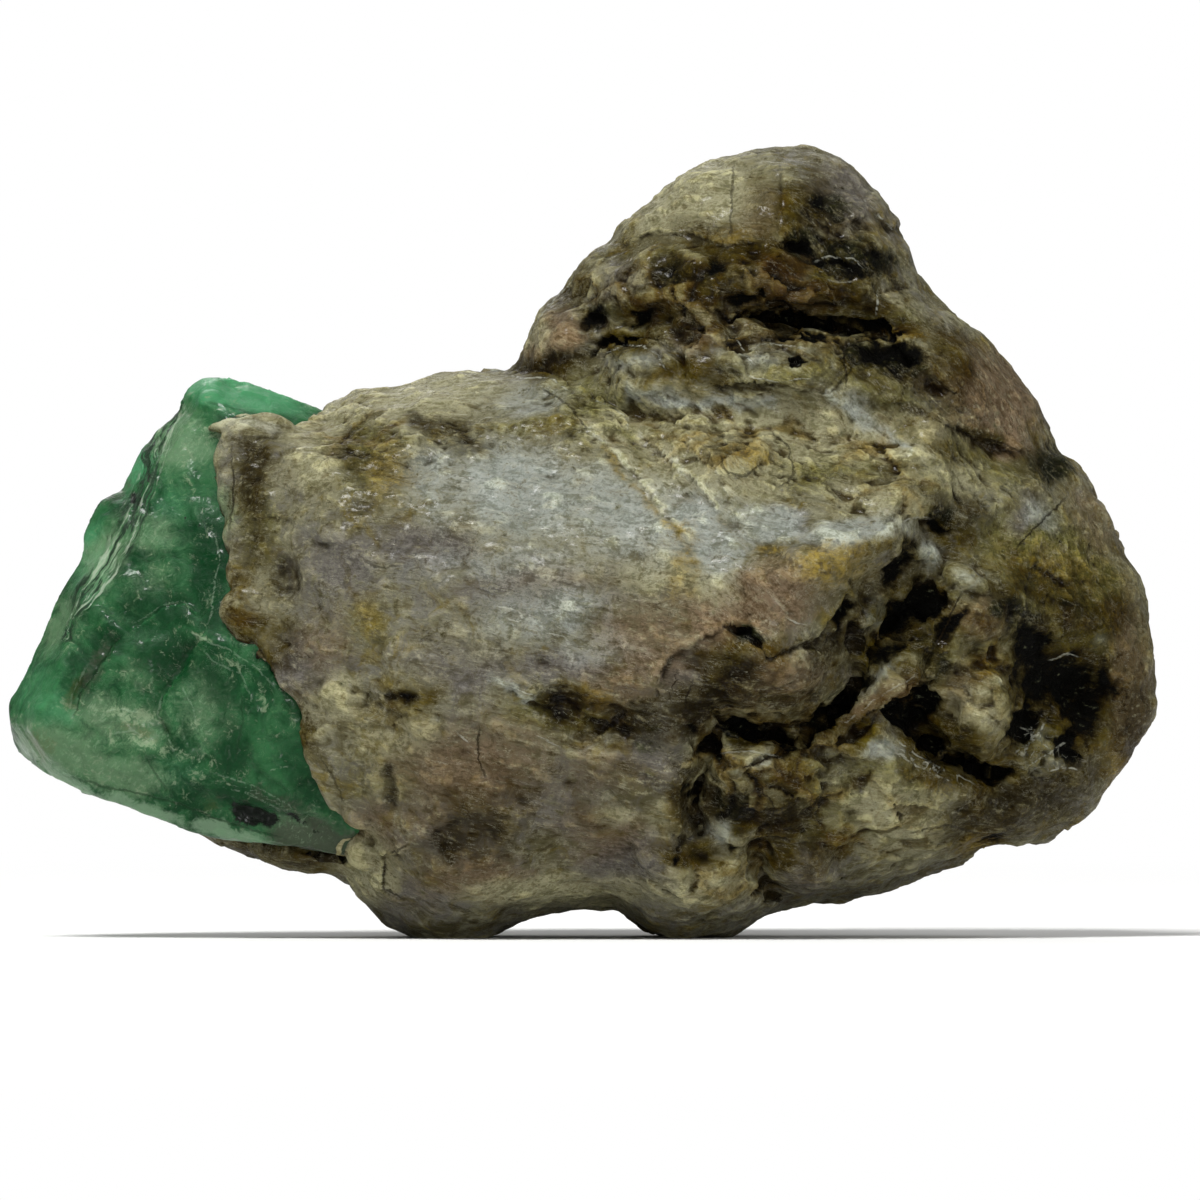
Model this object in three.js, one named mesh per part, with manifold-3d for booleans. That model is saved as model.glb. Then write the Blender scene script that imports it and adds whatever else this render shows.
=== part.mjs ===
// Raw emerald in matrix: a worn lump of mica-rich rock with one green beryl crystal set in its left end.
// Millimetres, +Z up, +Y to the back. The lump stands on the worn flats under its lower lobes, at z = 0,
// and the origin is below the middle of its box.
import * as THREE from "three";
import { ImprovedNoise } from "three/addons/math/ImprovedNoise.js";
import { mergeVertices } from "three/addons/utils/BufferGeometryUtils.js";
import Module from "manifold-3d";

const wasm = await Module();
wasm.setup();
const noise = new ImprovedNoise();

// ---------- driving dimensions ----------

const RIM_POWER = 2.5; // 2 gives a round rim, more gives a boxy one
const UNDERSIDE_POWER = 2.9;
const GRAIN_SIZE = 4.2; // wavelength of the rock's unevenness
const GRAIN_HEIGHT = 0.42;
const LOBE_SKEW = 0.9; // how far lobes and hollows run askew towards the back
const FRONT_CROWDING = 0.34; // 0 spreads the rock's points evenly, more draws them to the front
const SOCKET_GAP = 0.3; // clearance between the crystal and its socket
const TERRACE_REACH = 3; // about how far a terrace's outline is from its middle
const CRYSTAL_BLANK = 60; // edge of the block that the crystal is cut from
const BREAK_FLOOR = -1.5; // y of the broken notch's floor, behind the crystal's exposed face

// Outlines seen from the front, as [x, z], clockwise from the left. The main mass and the hump are two lumps
// grown into one: the hump stands farther back, so the main mass ends in a ledge in front of it.
const massOutline = [
  [-19.0, 26.0], [-16.4, 26.0], [-14.3, 25.8], [-12.8, 26.5], [-11.4, 27.3], [-10.2, 27.2],
  [-8.6, 27.6], [-6.4, 28.2], [-3.6, 28.4], [-0.6, 28.6], [2.6, 28.0], [6, 29.2], [10, 29.5],
  [14, 28.6], [18, 27.4], [20.5, 26.2], [22.8, 25.0], [25.2, 22.6], [27.2, 18.9], [28.5, 14.6],
  [28.6, 12.4], [27.6, 9.6], [25.6, 6.4], [23.6, 5.2], [21.6, 4.5], [20.7, 4.8], [18.4, 4.0],
  [15.6, 2.8], [12.2, 1.8], [9.6, 1.4], [7.6, 0.2], [5.4, -0.4], [3.6, 0.1], [1.6, 1.5], [-1.4, 1.4],
  [-4.4, 0.4], [-6.4, -0.3], [-8.6, 0.1], [-10.8, 1.7], [-12.1, 3.0], [-14.2, 3.3], [-17.2, 4.2],
  [-20.4, 6.4], [-22.0, 11.0], [-21.6, 16.0], [-20.6, 21.5],
];
const humpOutline = [
  [-6, 24], [-4.4, 27.6], [-3.1, 29.6], [-2.4, 31.0], [-1.0, 32.4], [-0.2, 33.8], [1.4, 35.1],
  [3.2, 36.7], [5.9, 38.5], [9.1, 39.4], [12.2, 39.0], [14.3, 37.5], [15.6, 35.6], [16.6, 33.6],
  [18.5, 31.2], [20.8, 29.2], [22.6, 27.0], [23.2, 25.4], [24.4, 21], [22, 15], [14, 12], [4, 13], [-3, 18],
];

// Broad worn faces: each one's depth from the middle plane at a point [x, z], and its slope along x and z.
const massFront = [
  { at: [-1, 14], depth: 13.2, slope: [0.02, 0.1] }, // lower face
  { at: [0, 17.5], depth: 13.6, slope: [0.03, -0.48] }, // upper shoulder, turned up
  { at: [-14, 16], depth: 12.0, slope: [0.14, 0] }, // left end
  { at: [3.3, 14.9], depth: 14.7, slope: [-0.3, 0.2] }, // below the brow, leaning in
  { at: [18, 18], depth: 11.4, slope: [-0.62, -0.1] }, // right end
];
const massBack = [
  { at: [0, 16], depth: 12.6, slope: [0.08, 0.16] }, // lower back, leaning in
  { at: [2, 20], depth: 13.0, slope: [0.02, -0.42] }, // upper back, turned up
  { at: [14, 18], depth: 12.4, slope: [-0.42, 0.05] }, // right back
  { at: [-12, 16], depth: 11, slope: [0.25, -0.06] }, // left back
];
const humpFront = [
  { at: [9, 32], depth: 7.6, slope: [0.02, -0.1] }, // front, leaning back a little
  { at: [0, 30], depth: 6.2, slope: [0.35, 0] }, // left end
  { at: [17, 28], depth: 8.4, slope: [-0.4, -0.12] }, // right flank
];
const humpBack = [
  { at: [8, 28], depth: 9.6, slope: [-0.05, -0.3] },
  { at: [0, 28], depth: 8.6, slope: [0.3, 0] },
];
const lumpKinds = [
  { heart: { x: 3.3, z: 16.8 }, outline: massOutline, front: massFront, back: massBack, detail: 17 },
  { heart: { x: 9.2, z: 26.5 }, outline: humpOutline, front: humpFront, back: humpBack, detail: 11 },
];

// Relief on the front and back: place [x, z], half sizes along and across, turn in degrees, height out of the
// surface, and how blunt it is: 2 is a soft swelling, 4 and more a block or a pocket with steep sides.
const frontRelief = [
  { at: [13.0, 19.4], half: [4.4, 1.3], turn: 24, height: 1.7, blunt: 3 }, // stained brow
  { at: [16.8, 23.4], half: [2.6, 1.4], turn: 42, height: 1.4, blunt: 3 },
  { at: [7.2, 24.0], half: [2.0, 1.2], turn: 8, height: 0.6, blunt: 3 }, // pale nodule on the shoulder
  { at: [-7.0, 4.0], half: [3.6, 3.0], turn: 0, height: 1, blunt: 2 }, // left lobe
  { at: [-9.6, 12.0], half: [3.6, 4.4], turn: 10, height: 0.7, blunt: 2 },
  { at: [-12.8, 20.6], half: [1.9, 3.0], turn: 12, height: 0.7, blunt: 3 },
  { at: [-9.6, 25.2], half: [2.8, 1.5], turn: 8, height: 0.8, blunt: 4 }, // crust at the left end
  { at: [-1.4, 25.8], half: [3.8, 1.4], turn: -6, height: 0.5, blunt: 2 }, // pale rim of the shoulder
  { at: [4.6, 21.6], half: [0.9, 4.4], turn: 34, height: -0.4, blunt: 2 }, // furrow along the seam
  { at: [0.6, 10.4], half: [3.6, 0.9], turn: -14, height: -0.6, blunt: 2 },
  { at: [-2.4, 7.4], half: [2.6, 1.1], turn: -12, height: -0.8, blunt: 3 }, // dent of the lower face
  { at: [9.6, 14.6], half: [3.0, 2.2], turn: 14, height: 1, blunt: 4 }, // block under the brow
  { at: [16.6, 17.8], half: [1.5, 3.2], turn: -36, height: -1.5, blunt: 4 }, // upper mica pocket
  { at: [13.2, 12.6], half: [1.3, 2.6], turn: -40, height: -1.1, blunt: 3 }, // below the brow
  { at: [9.4, 10.8], half: [3.0, 0.9], turn: 6, height: -1.1, blunt: 3 },
  { at: [23.6, 12.2], half: [1.8, 3.0], turn: -14, height: -1.5, blunt: 4 }, // right mica pocket
  { at: [16.6, 10.8], half: [1.2, 1.7], turn: 8, height: -1.7, blunt: 4 }, // middle mica pocket
  { at: [18.9, 8.5], half: [2.3, 0.8], turn: -20, height: -1.4, blunt: 3 },
  { at: [20.0, 11.5], half: [1.3, 2.0], turn: 0, height: 1.1, blunt: 4 }, // pale boss between two pockets
  { at: [20.4, 17.0], half: [2.4, 1.5], turn: -14, height: 0.8, blunt: 4 },
  { at: [22.6, 21.4], half: [1.6, 2.6], turn: 24, height: 0.7, blunt: 3 },
  { at: [16.4, 6.9], half: [3.6, 2.1], turn: -28, height: 1.4, blunt: 4 }, // lower right flake
  { at: [9.1, 7.4], half: [2.4, 1.9], turn: -6, height: 1, blunt: 4 },
  { at: [6.2, 3.0], half: [2.9, 1.5], turn: 4, height: 0.8, blunt: 4 }, // pale block of the middle lobe
  { at: [11.2, 3.8], half: [1.4, 1.2], turn: 0, height: 1, blunt: 4 }, // grey nodule
  { at: [6.0, 7.4], half: [0.7, 3.6], turn: -4, height: -0.8, blunt: 3 }, // right edge of the lower face
  { at: [-2.0, 29.9], half: [1.7, 1.3], turn: 44, height: 1.1, blunt: 4 }, // block at the hump's left foot
  { at: [2.7, 27.9], half: [1.9, 1.3], turn: -8, height: 1.7, blunt: 4 }, // knob under the left crevice
  { at: [9.8, 28.6], half: [2.9, 1.1], turn: -4, height: 1.3, blunt: 5 }, // pale block over the step
  { at: [5.8, 28.6], half: [1.0, 1.2], turn: 16, height: 0.8, blunt: 4 },
  { at: [10.8, 32.2], half: [4.2, 0.8], turn: -12, height: 1.1, blunt: 4 }, // lintel of the long crevice
  { at: [11.4, 30.7], half: [4.2, 0.6], turn: -6, height: -1.1, blunt: 3 },
  { at: [2.0, 32.4], half: [1.9, 1.5], turn: 22, height: 1.1, blunt: 4 }, // rough blocks on the hump's left
  { at: [5.8, 32.2], half: [1.5, 1.5], turn: -10, height: 1, blunt: 4 },
  { at: [3.8, 30.4], half: [3.6, 0.5], turn: -4, height: -0.8, blunt: 3 },
  { at: [14.2, 34.0], half: [1.3, 1.5], turn: 20, height: 0.8, blunt: 4 }, // dark shoulder of the dome
  { at: [11.6, 34.8], half: [1.0, 1.5], turn: 0, height: -1, blunt: 3 },
  { at: [17.8, 29.0], half: [3.6, 1.3], turn: -44, height: 1.3, blunt: 4 }, // right flank's shoulder
  { at: [14.6, 28.0], half: [1.4, 0.9], turn: -20, height: 0.7, blunt: 4 },
];
const backRelief = [
  { at: [-6, 22], half: [4, 3], turn: -20, height: 1.4, blunt: 3 },
  { at: [18, 21], half: [2.6, 4], turn: 10, height: 1.3, blunt: 3 },
  { at: [-3, 9], half: [4.6, 3], turn: 25, height: 1.5, blunt: 3 },
  { at: [14, 7.6], half: [4, 2.2], turn: -10, height: 1.5, blunt: 3 },
  { at: [0, 27.0], half: [2.8, 1.4], turn: 12, height: 1.3, blunt: 4 },
  { at: [8, 24.8], half: [3.2, 1.4], turn: -8, height: 1.4, blunt: 4 },
  { at: [11.2, 13.4], half: [2.6, 2.2], turn: 20, height: 1.3, blunt: 4 },
  { at: [18, 14.8], half: [2.2, 2.6], turn: -18, height: 1.3, blunt: 4 },
  { at: [-10, 12], half: [2.8, 2.4], turn: 10, height: 1, blunt: 4 },
  { at: [9, 33], half: [3.4, 2.0], turn: -20, height: 1, blunt: 3 },
  { at: [-2.6, 15.4], half: [2.0, 1.8], turn: 10, height: -1.5, blunt: 4 },
  { at: [22.4, 17.4], half: [1.4, 2.4], turn: -8, height: -1.4, blunt: 4 },
  { at: [10, 18], half: [1.0, 4.4], turn: -62, height: -0.9, blunt: 2 },
  { at: [-9, 16.4], half: [3.4, 0.9], turn: 12, height: -0.9, blunt: 2 },
];

// Crevices: a path whose points are [x, z, width, depth].
const crevices = [
  { // long crevice under the lintel
    side: "front",
    path: [[7.0, 31.2, 0.3, 0.4], [8.8, 30.9, 1.2, 1.6], [11.4, 30.7, 1.2, 2.2], [13.6, 30.2, 1.1, 1.8],
      [16.0, 29.9, 0.3, 0.5]],
  },
  { // over the knob
    side: "front",
    path: [[0.3, 29.0, 0.2, 0.3], [1.5, 29.7, 0.9, 1.4], [3.4, 29.7, 0.9, 1.5], [4.9, 28.8, 0.7, 0.8],
      [5.2, 27.4, 0.2, 0.3]],
  },
  { // below the brow
    side: "front",
    path: [[13.0, 16.9, 0.4, 0.4], [13.6, 14.6, 0.9, 0.9], [13.3, 12.4, 1.3, 1.4], [11.8, 10.9, 1.2, 1.5],
      [10.2, 10.4, 1.1, 1.4], [8.6, 10.6, 1.0, 1.1], [6.9, 11.1, 0.5, 0.5]],
  },
  { // right edge of the lower face
    side: "front",
    path: [[6.6, 10.4, 0.4, 0.3], [6.1, 8.6, 0.8, 0.9], [5.6, 6.8, 0.9, 1.0], [5.9, 5.0, 0.4, 0.4]],
  },
  { // seam along the slanting slab
    side: "front",
    path: [[18.6, 17.0, 0.3, 0.3], [17.6, 14.8, 0.6, 0.7], [16.6, 13.1, 0.6, 0.8], [14.4, 11.4, 0.6, 0.7],
      [13.0, 10.2, 0.3, 0.3]],
  },
  { // from the middle pocket to the right one
    side: "front",
    path: [[16.4, 11.2, 0.5, 0.6], [17.2, 9.6, 1.1, 1.3], [19.0, 8.5, 1.2, 1.4], [21.0, 8.2, 0.4, 0.5]],
  },
  { // notch beside the grey nodule
    side: "front",
    path: [[8.6, 5.0, 0.3, 0.3], [8.9, 3.4, 0.8, 0.9], [9.3, 1.8, 0.8, 0.8]],
  },
  { // groove between the hump and the right end
    side: "front",
    path: [[18.0, 25.6, 0.3, 0.3], [19.4, 25.0, 1.1, 0.8], [21.0, 24.5, 0.9, 0.7], [22.4, 23.0, 0.3, 0.3]],
  },
  {
    side: "back",
    path: [[1.0, 25.0, 0.4, 0.4], [3.8, 25.4, 1.4, 1.6], [7.0, 27.4, 1.4, 1.8], [11.0, 26.6, 1.2, 1.4],
      [13.4, 25.0, 0.3, 0.4]],
  },
  {
    side: "back",
    path: [[15.4, 17.6, 0.4, 0.4], [14.4, 14.4, 1.2, 1.4], [14.4, 11.4, 1.4, 1.4], [12.0, 9.4, 1.2, 1.0],
      [10.8, 6.8, 0.3, 0.3]],
  },
  {
    side: "back",
    path: [[-13.0, 15.4, 0.4, 0.4], [-9.6, 15.0, 1.2, 0.9], [-6.2, 15.8, 1.1, 0.9], [-4.6, 18.6, 0.3, 0.3]],
  },
];

// Where the rock has broken away in front of the crystal, as [x, z]: its right side is the broken edge.
const brokenEdge = [
  [-19.0, 25.9], [-18.9, 24.6], [-19.0, 23.3], [-18.4, 22.0], [-18.0, 20.6], [-17.7, 19.6],
  [-17.7, 18.1], [-18.0, 16.6], [-18.1, 15.1], [-17.3, 14.3], [-16.0, 13.8], [-15.4, 12.7],
  [-14.2, 11.4], [-13.9, 9.4], [-13.3, 8.1], [-12.7, 6.6], [-12.2, 5.1], [-12.9, 4.3],
  [-14.7, 4.5], [-17.6, 5.0], [-18.9, 5.1], [-34, 3], [-34, 30], [-20.2, 26.6],
];

// The crystal's faces: a point on each and the way it looks. The first four make up its exposed front.
const crystalFaces = [
  { on: [-20.6, -7.4, 14.8], looks: [-0.24, -0.9, 0.36] }, // upper front
  { on: [-20.6, -7.5, 14.0], looks: [-0.12, -0.98, -0.06] }, // lower front
  { on: [-24.2, -6.5, 17.4], looks: [-0.55, -0.75, 0.4] }, // edge bevel, worn and striated
  { on: [-20.4, -7.2, 8.6], looks: [-0.2, -0.9, -0.42] }, // foot of the front
  { on: [-15, -0.7, 27.2], looks: [0.3, -0.5, 0.81] }, // top, turned to the front
  { on: [-15, -0.7, 27.2], looks: [0.3, 0.62, 0.73] }, // top, behind
  { on: [-18.4, 0, 27.85], looks: [-0.45, 0, 0.89] }, // blunted top corner
  { on: [-19.9, -0.8, 26.7], looks: [-0.66, -0.3, 0.69] },
  { on: [-22.8, -0.95, 23.2], looks: [-0.74, -0.38, 0.555] }, // left side, upper
  { on: [-22.8, -0.95, 23.2], looks: [-0.7, 0.45, 0.53] },
  { on: [-26.5, -3.2, 16.5], looks: [-0.8, -0.47, 0.37] }, // left side, lower
  { on: [-26.5, -3.2, 16.5], looks: [-0.82, 0.42, 0.38] },
  { on: [-28.6, 0, 11], looks: [-0.996, 0, -0.085] }, // blunted tip
  { on: [-28, -2, 9.4], looks: [-0.77, -0.2, -0.6] },
  { on: [-26.7, -4.2, 8.2], looks: [-0.52, -0.4, -0.75] },
  { on: [-22.2, -5.5, 6.3], looks: [-0.29, -0.53, -0.79] }, // bottom bevel
  { on: [-22.2, -5.5, 6.3], looks: [-0.33, 0.14, -0.93] }, // underside
  { on: [-17.0, -5.2, 4.85], looks: [-0.13, 0, -0.99] }, // underside where it rests on the rock
  { on: [-20, 5.6, 15], looks: [-0.1, 0.95, 0.1] }, // back
  { on: [-23, 4.6, 10], looks: [-0.3, 0.75, -0.58] }, // back, below
  { on: [-12.0, -7.3, 4.4], looks: [0.62, -0.45, -0.64] }, // foot corner, held by the rock
  { on: [-10.2, 0, 10], looks: [0.99, 0.1, -0.1] }, // end buried in the rock
];
const EXPOSED_FRONT = 4;

// Growth terraces that stand out of the crystal's front: an outline of [x, z] points and a height.
const terraces = [
  { // lower right terrace
    height: 0.35,
    outline: [[-18.5, 15.0], [-19.7, 13.4], [-20.8, 12.0], [-20.6, 10.2], [-20.0, 7.9], [-17.2, 6.8],
      [-12.8, 6.0], [-11.6, 8.8], [-13.4, 12.4], [-16.0, 14.6]],
  },
  { // smooth plate beside the rock
    height: 0.6,
    outline: [[-16.7, 12.3], [-16.0, 13.5], [-14.0, 11.8], [-13.2, 8.4], [-14.6, 7.4], [-16.4, 8.8]],
  },
  { // low terrace in the middle
    height: 0.2,
    outline: [[-22.6, 13.0], [-21.4, 13.4], [-20.6, 11.2], [-20.9, 8.9], [-22.8, 9.6], [-23.4, 11.4]],
  },
];

// ---------- shape helpers ----------

const radians = THREE.MathUtils.degToRad;

/** A closed mesh, from a geometry, as a solid. */
function solidOf(geometry) {
  const bare = geometry.clone();
  for (const name of ["normal", "uv"]) bare.deleteAttribute(name);
  const merged = mergeVertices(bare, 1e-4);
  return new wasm.Manifold(new wasm.Mesh({
    numProp: 3,
    vertProperties: merged.attributes.position.array,
    triVerts: new Uint32Array(merged.index.array),
  }));
}

/** A solid back as a geometry that three.js draws. */
function geometryOf(solid) {
  const { numProp, vertProperties, triVerts, numVert } = solid.getMesh();
  const position = new Float32Array(numVert * 3);
  for (let i = 0; i < numVert; i++) {
    position.set(vertProperties.subarray(i * numProp, i * numProp + 3), i * 3);
  }
  const geometry = new THREE.BufferGeometry();
  geometry.setAttribute("position", new THREE.BufferAttribute(position, 3));
  geometry.setIndex(new THREE.BufferAttribute(triVerts, 1));
  geometry.computeVertexNormals();
  return geometry;
}

/** Everything on the side of a plane that it looks to: a block wide enough to cut any piece here. */
function halfSpace(on, looks) {
  const geometry = new THREE.BoxGeometry(4 * CRYSTAL_BLANK, 4 * CRYSTAL_BLANK, 2 * CRYSTAL_BLANK);
  geometry.translate(0, 0, CRYSTAL_BLANK);
  const normal = new THREE.Vector3(...looks).normalize();
  const turn = new THREE.Quaternion().setFromUnitVectors(new THREE.Vector3(0, 0, 1), normal);
  geometry.applyQuaternion(turn);
  geometry.translate(...on);
  return solidOf(geometry);
}

/** A smooth closed outline through points, as how far it reaches from the heart in each direction. */
function reachOf(outline, heart) {
  const points = outline.map(([x, z]) => new THREE.Vector3(x - heart.x, z - heart.z, 0));
  const ring = new THREE.CatmullRomCurve3(points, true, "centripetal").getPoints(720)
    .map((p) => ({ angle: Math.atan2(p.y, p.x), reach: Math.hypot(p.x, p.y) }))
    .sort((a, b) => a.angle - b.angle);
  return (angle) => {
    const next = ring.findIndex((p) => p.angle > angle);
    const after = ring[next < 0 ? 0 : next];
    const before = ring[(next < 0 ? 0 : next) === 0 ? ring.length - 1 : next - 1];
    const span = (after.angle - before.angle + 2 * Math.PI) % (2 * Math.PI) || 1;
    const share = ((angle - before.angle + 2 * Math.PI) % (2 * Math.PI)) / span;
    return THREE.MathUtils.lerp(before.reach, after.reach, share);
  };
}

/** The least of several depths, with the creases between them rounded. */
function softLeast(depths, round = 0.45) {
  const least = Math.min(...depths);
  return least - round * Math.log(depths.reduce((sum, d) => sum + Math.exp((least - d) / round), 0));
}

/** How far a set of worn faces stands out at x, z. */
function facesAt(faces, x, z) {
  return softLeast(faces.map(({ at, depth, slope }) =>
    depth + slope[0] * (x - at[0]) + slope[1] * (z - at[1])));
}

/** The height of the relief at x, z. Its shapes are warped a little, so that none has a regular outline. */
function reliefAt(relief, x, z) {
  const warpX = 0.8 * noise.noise(x / 1.9, 3.1, z / 1.9);
  const warpZ = 0.8 * noise.noise(x / 1.9, 7.7, z / 1.9);
  return relief.reduce((sum, { at, half, turn, height, blunt }) => {
    const [dx, dz] = [x + warpX - at[0], z + warpZ - at[1]];
    const [c, s] = [Math.cos(radians(turn)), Math.sin(radians(turn))];
    const along = Math.abs((dx * c + dz * s) / half[0]);
    const across = Math.abs((dz * c - dx * s) / half[1]);
    return sum + height * Math.exp(-(along ** blunt + across ** blunt));
  }, 0);
}

/** A closed solid through rings with the same number of points; the cap's triangles close both ends. */
function loft(rings, cap) {
  const count = rings[0].length;
  const last = count * (rings.length - 1);
  const index = cap.flatMap(([a, b, c]) => [a, b, c, last + a, last + c, last + b]);
  for (let start = 0; start < last; start += count) {
    for (let i = 0; i < count; i++) {
      const [near, nextNear] = [start + i, start + ((i + 1) % count)];
      index.push(near, near + count, nextNear, nextNear, near + count, nextNear + count);
    }
  }
  const geometry = new THREE.BufferGeometry();
  geometry.setAttribute("position", new THREE.Float32BufferAttribute(rings.flat(2), 3));
  geometry.setIndex(index);
  return solidOf(geometry);
}

// ---------- the rock ----------

/** The rock's worn unevenness: soft lumps with sharper hollows between them. */
function unevenness(x, y, z) {
  const wide = noise.noise(x / GRAIN_SIZE, y / GRAIN_SIZE, z / GRAIN_SIZE);
  const fine = noise.noise((2.3 * x) / GRAIN_SIZE + 9, (2.3 * y) / GRAIN_SIZE, (2.3 * z) / GRAIN_SIZE);
  return GRAIN_HEIGHT * (wide + 0.5 * (0.4 - 2 * Math.abs(fine)));
}

/** How far one lump's face stands out at x, z, before its rim is rounded off. */
function faceDepth(lump, side, x, z) {
  return facesAt(lump[side], x, z) + reliefAt(side === "front" ? frontRelief : backRelief, x, z);
}

/** A lump before anything is cut from it: a sphere stretched to its outline and its faces. Its points are
 * crowded towards the front, where the relief is finest. */
function lumpSolid(lump) {
  const geometry = new THREE.IcosahedronGeometry(1, lump.detail);
  const position = geometry.attributes.position;
  const way = new THREE.Vector3();
  for (let i = 0; i < position.count; i++) {
    way.fromBufferAttribute(position, i).normalize();
    way.y -= FRONT_CROWDING;
    way.normalize();
    const angle = Math.atan2(way.z, way.x);
    const down = THREE.MathUtils.smoothstep(-Math.sin(angle), 0.5, 0.9);
    const power = THREE.MathUtils.lerp(RIM_POWER, UNDERSIDE_POWER, down);
    const reach = lump.reach(angle) * Math.min(1, Math.hypot(way.x, way.z)) ** (2 / power);
    const forward = Math.abs(way.y) ** (2 / power);
    const x = lump.heart.x + reach * Math.cos(angle);
    const z = lump.heart.z + reach * Math.sin(angle);
    const side = way.y < 0 ? "front" : "back";
    const rough = unevenness(x, 10 * way.y, z);
    const y = Math.sign(way.y) * forward * (faceDepth(lump, side, x, z) + rough);
    const rim = 1 + (0.5 * rough * (1 - forward)) / Math.max(8, reach);
    const skew = LOBE_SKEW * Math.max(0, y) * noise.noise(x / 11 + 4, 0.5, z / 11);
    const across = lump.heart.x + (x - lump.heart.x) * rim + skew;
    const up = lump.heart.z + (z - lump.heart.z) * rim;
    position.setXYZ(i, across, y, up);
  }
  return solidOf(geometry);
}

/** The y of the rock's surface at x, z on one side: the outer one of the lumps, rounded at its rim. */
function surfaceY(side, x, z) {
  const depths = lumpKinds.map((lump) => {
    const [dx, dz] = [x - lump.heart.x, z - lump.heart.z];
    const share = Math.hypot(dx, dz) / lump.reach(Math.atan2(dz, dx));
    return faceDepth(lump, side, x, z) * Math.max(0, 1 - share ** RIM_POWER) ** (1 / RIM_POWER);
  });
  return Math.max(...depths) * (side === "front" ? -1 : 1);
}

/** A V-shaped cut that follows a path over the surface. */
function crevice({ side, path }) {
  const facing = side === "front" ? -1 : 1;
  const outside = 1.2;
  const rings = path.map(([x, z, width, deep], i) => {
    const [fromX, fromZ] = path[Math.max(0, i - 1)];
    const [toX, toZ] = path[Math.min(path.length - 1, i + 1)];
    const along = new THREE.Vector2(toX - fromX, toZ - fromZ).normalize();
    const half = -facing * (width / 2) * (1 + outside / deep);
    const y = surfaceY(side, x, z);
    return [
      [x - along.y * half, y + facing * outside, z + along.x * half],
      [x, y - facing * deep, z],
      [x + along.y * half, y + facing * outside, z - along.x * half],
    ];
  });
  return loft(rings, [[0, 1, 2]]);
}

/** The missing rock in front of the crystal, as a block that runs from the notch's floor to the front. */
function breakBlock() {
  const shape = new THREE.Shape(brokenEdge.map(([x, z]) => new THREE.Vector2(x, z)));
  const geometry = new THREE.ExtrudeGeometry(shape, { depth: CRYSTAL_BLANK, bevelEnabled: false });
  geometry.rotateX(Math.PI / 2);
  geometry.translate(0, BREAK_FLOOR, 0);
  return solidOf(geometry);
}

// ---------- the crystal ----------

/** The y of the crystal's front at x, z. */
function crystalFrontY(x, z) {
  return Math.max(...crystalFaces.slice(0, EXPOSED_FRONT).map(({ on, looks }) =>
    on[1] - (looks[0] * (x - on[0]) + looks[2] * (z - on[2])) / looks[1]));
}

/** A terrace on the crystal's front, with sloping sides, and a margin all round it. */
function terrace({ height, outline }, margin) {
  const points = outline.map(([x, z]) => new THREE.Vector2(x, z));
  if (THREE.ShapeUtils.isClockWise(points)) points.reverse();
  const middle = points.reduce((sum, p) => sum.add(p), new THREE.Vector2()).divideScalar(points.length);
  const ring = (scale, out) => points.map((p) => {
    const { x, y: z } = p.clone().sub(middle).multiplyScalar(scale).add(middle);
    return [x, crystalFrontY(x, z) - out, z];
  });
  const grown = 1 + margin / TERRACE_REACH;
  const cap = THREE.ShapeUtils.triangulateShape(points, []);
  return loft([ring(grown, height + margin), ring(1.06 * grown, -1)], cap);
}

/** The crystal with every face moved out by a margin. */
function crystalSolid(margin) {
  const blank = new THREE.BoxGeometry(CRYSTAL_BLANK, CRYSTAL_BLANK, CRYSTAL_BLANK);
  blank.translate(-20, 0, 15);
  const block = crystalFaces.reduce((rest, { on, looks }) => {
    const outward = new THREE.Vector3(...looks).normalize().multiplyScalar(margin);
    return rest.subtract(halfSpace(outward.add(new THREE.Vector3(...on)).toArray(), looks));
  }, solidOf(blank));
  return terraces.reduce((grown, shape) => grown.add(terrace(shape, margin)), block);
}

// ---------- the parts ----------

for (const lump of lumpKinds) lump.reach = reachOf(lump.outline, lump.heart);

let rock = lumpKinds.map(lumpSolid).reduce((joined, lump) => joined.add(lump));
for (const shape of crevices) rock = rock.subtract(crevice(shape));
rock = rock
  .subtract(halfSpace([0, 0, 0], [0, 0, -1]))
  .subtract(breakBlock())
  .subtract(crystalSolid(SOCKET_GAP));
const crystal = crystalSolid(0);

const matrix = new THREE.Mesh(geometryOf(rock), new THREE.MeshStandardMaterial({
  color: 0x6e6a52, roughness: 0.6, metalness: 0,
}));
matrix.name = "matrix";

const emerald = new THREE.Mesh(geometryOf(crystal), new THREE.MeshStandardMaterial({
  color: 0x2f6b45, roughness: 0.3, metalness: 0,
}));
emerald.name = "emerald_crystal";

const specimen = new THREE.Group();
specimen.add(matrix, emerald);

// The origin goes below the middle of the box.
const middle = new THREE.Box3().setFromObject(specimen).getCenter(new THREE.Vector3());
specimen.position.set(-middle.x, -middle.y, 0);

export default specimen;
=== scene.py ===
import itertools
import math
from types import SimpleNamespace

import bmesh
import bpy
import numpy as np
from mathutils import Matrix, Vector
from mathutils.bvhtree import BVHTree


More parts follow.
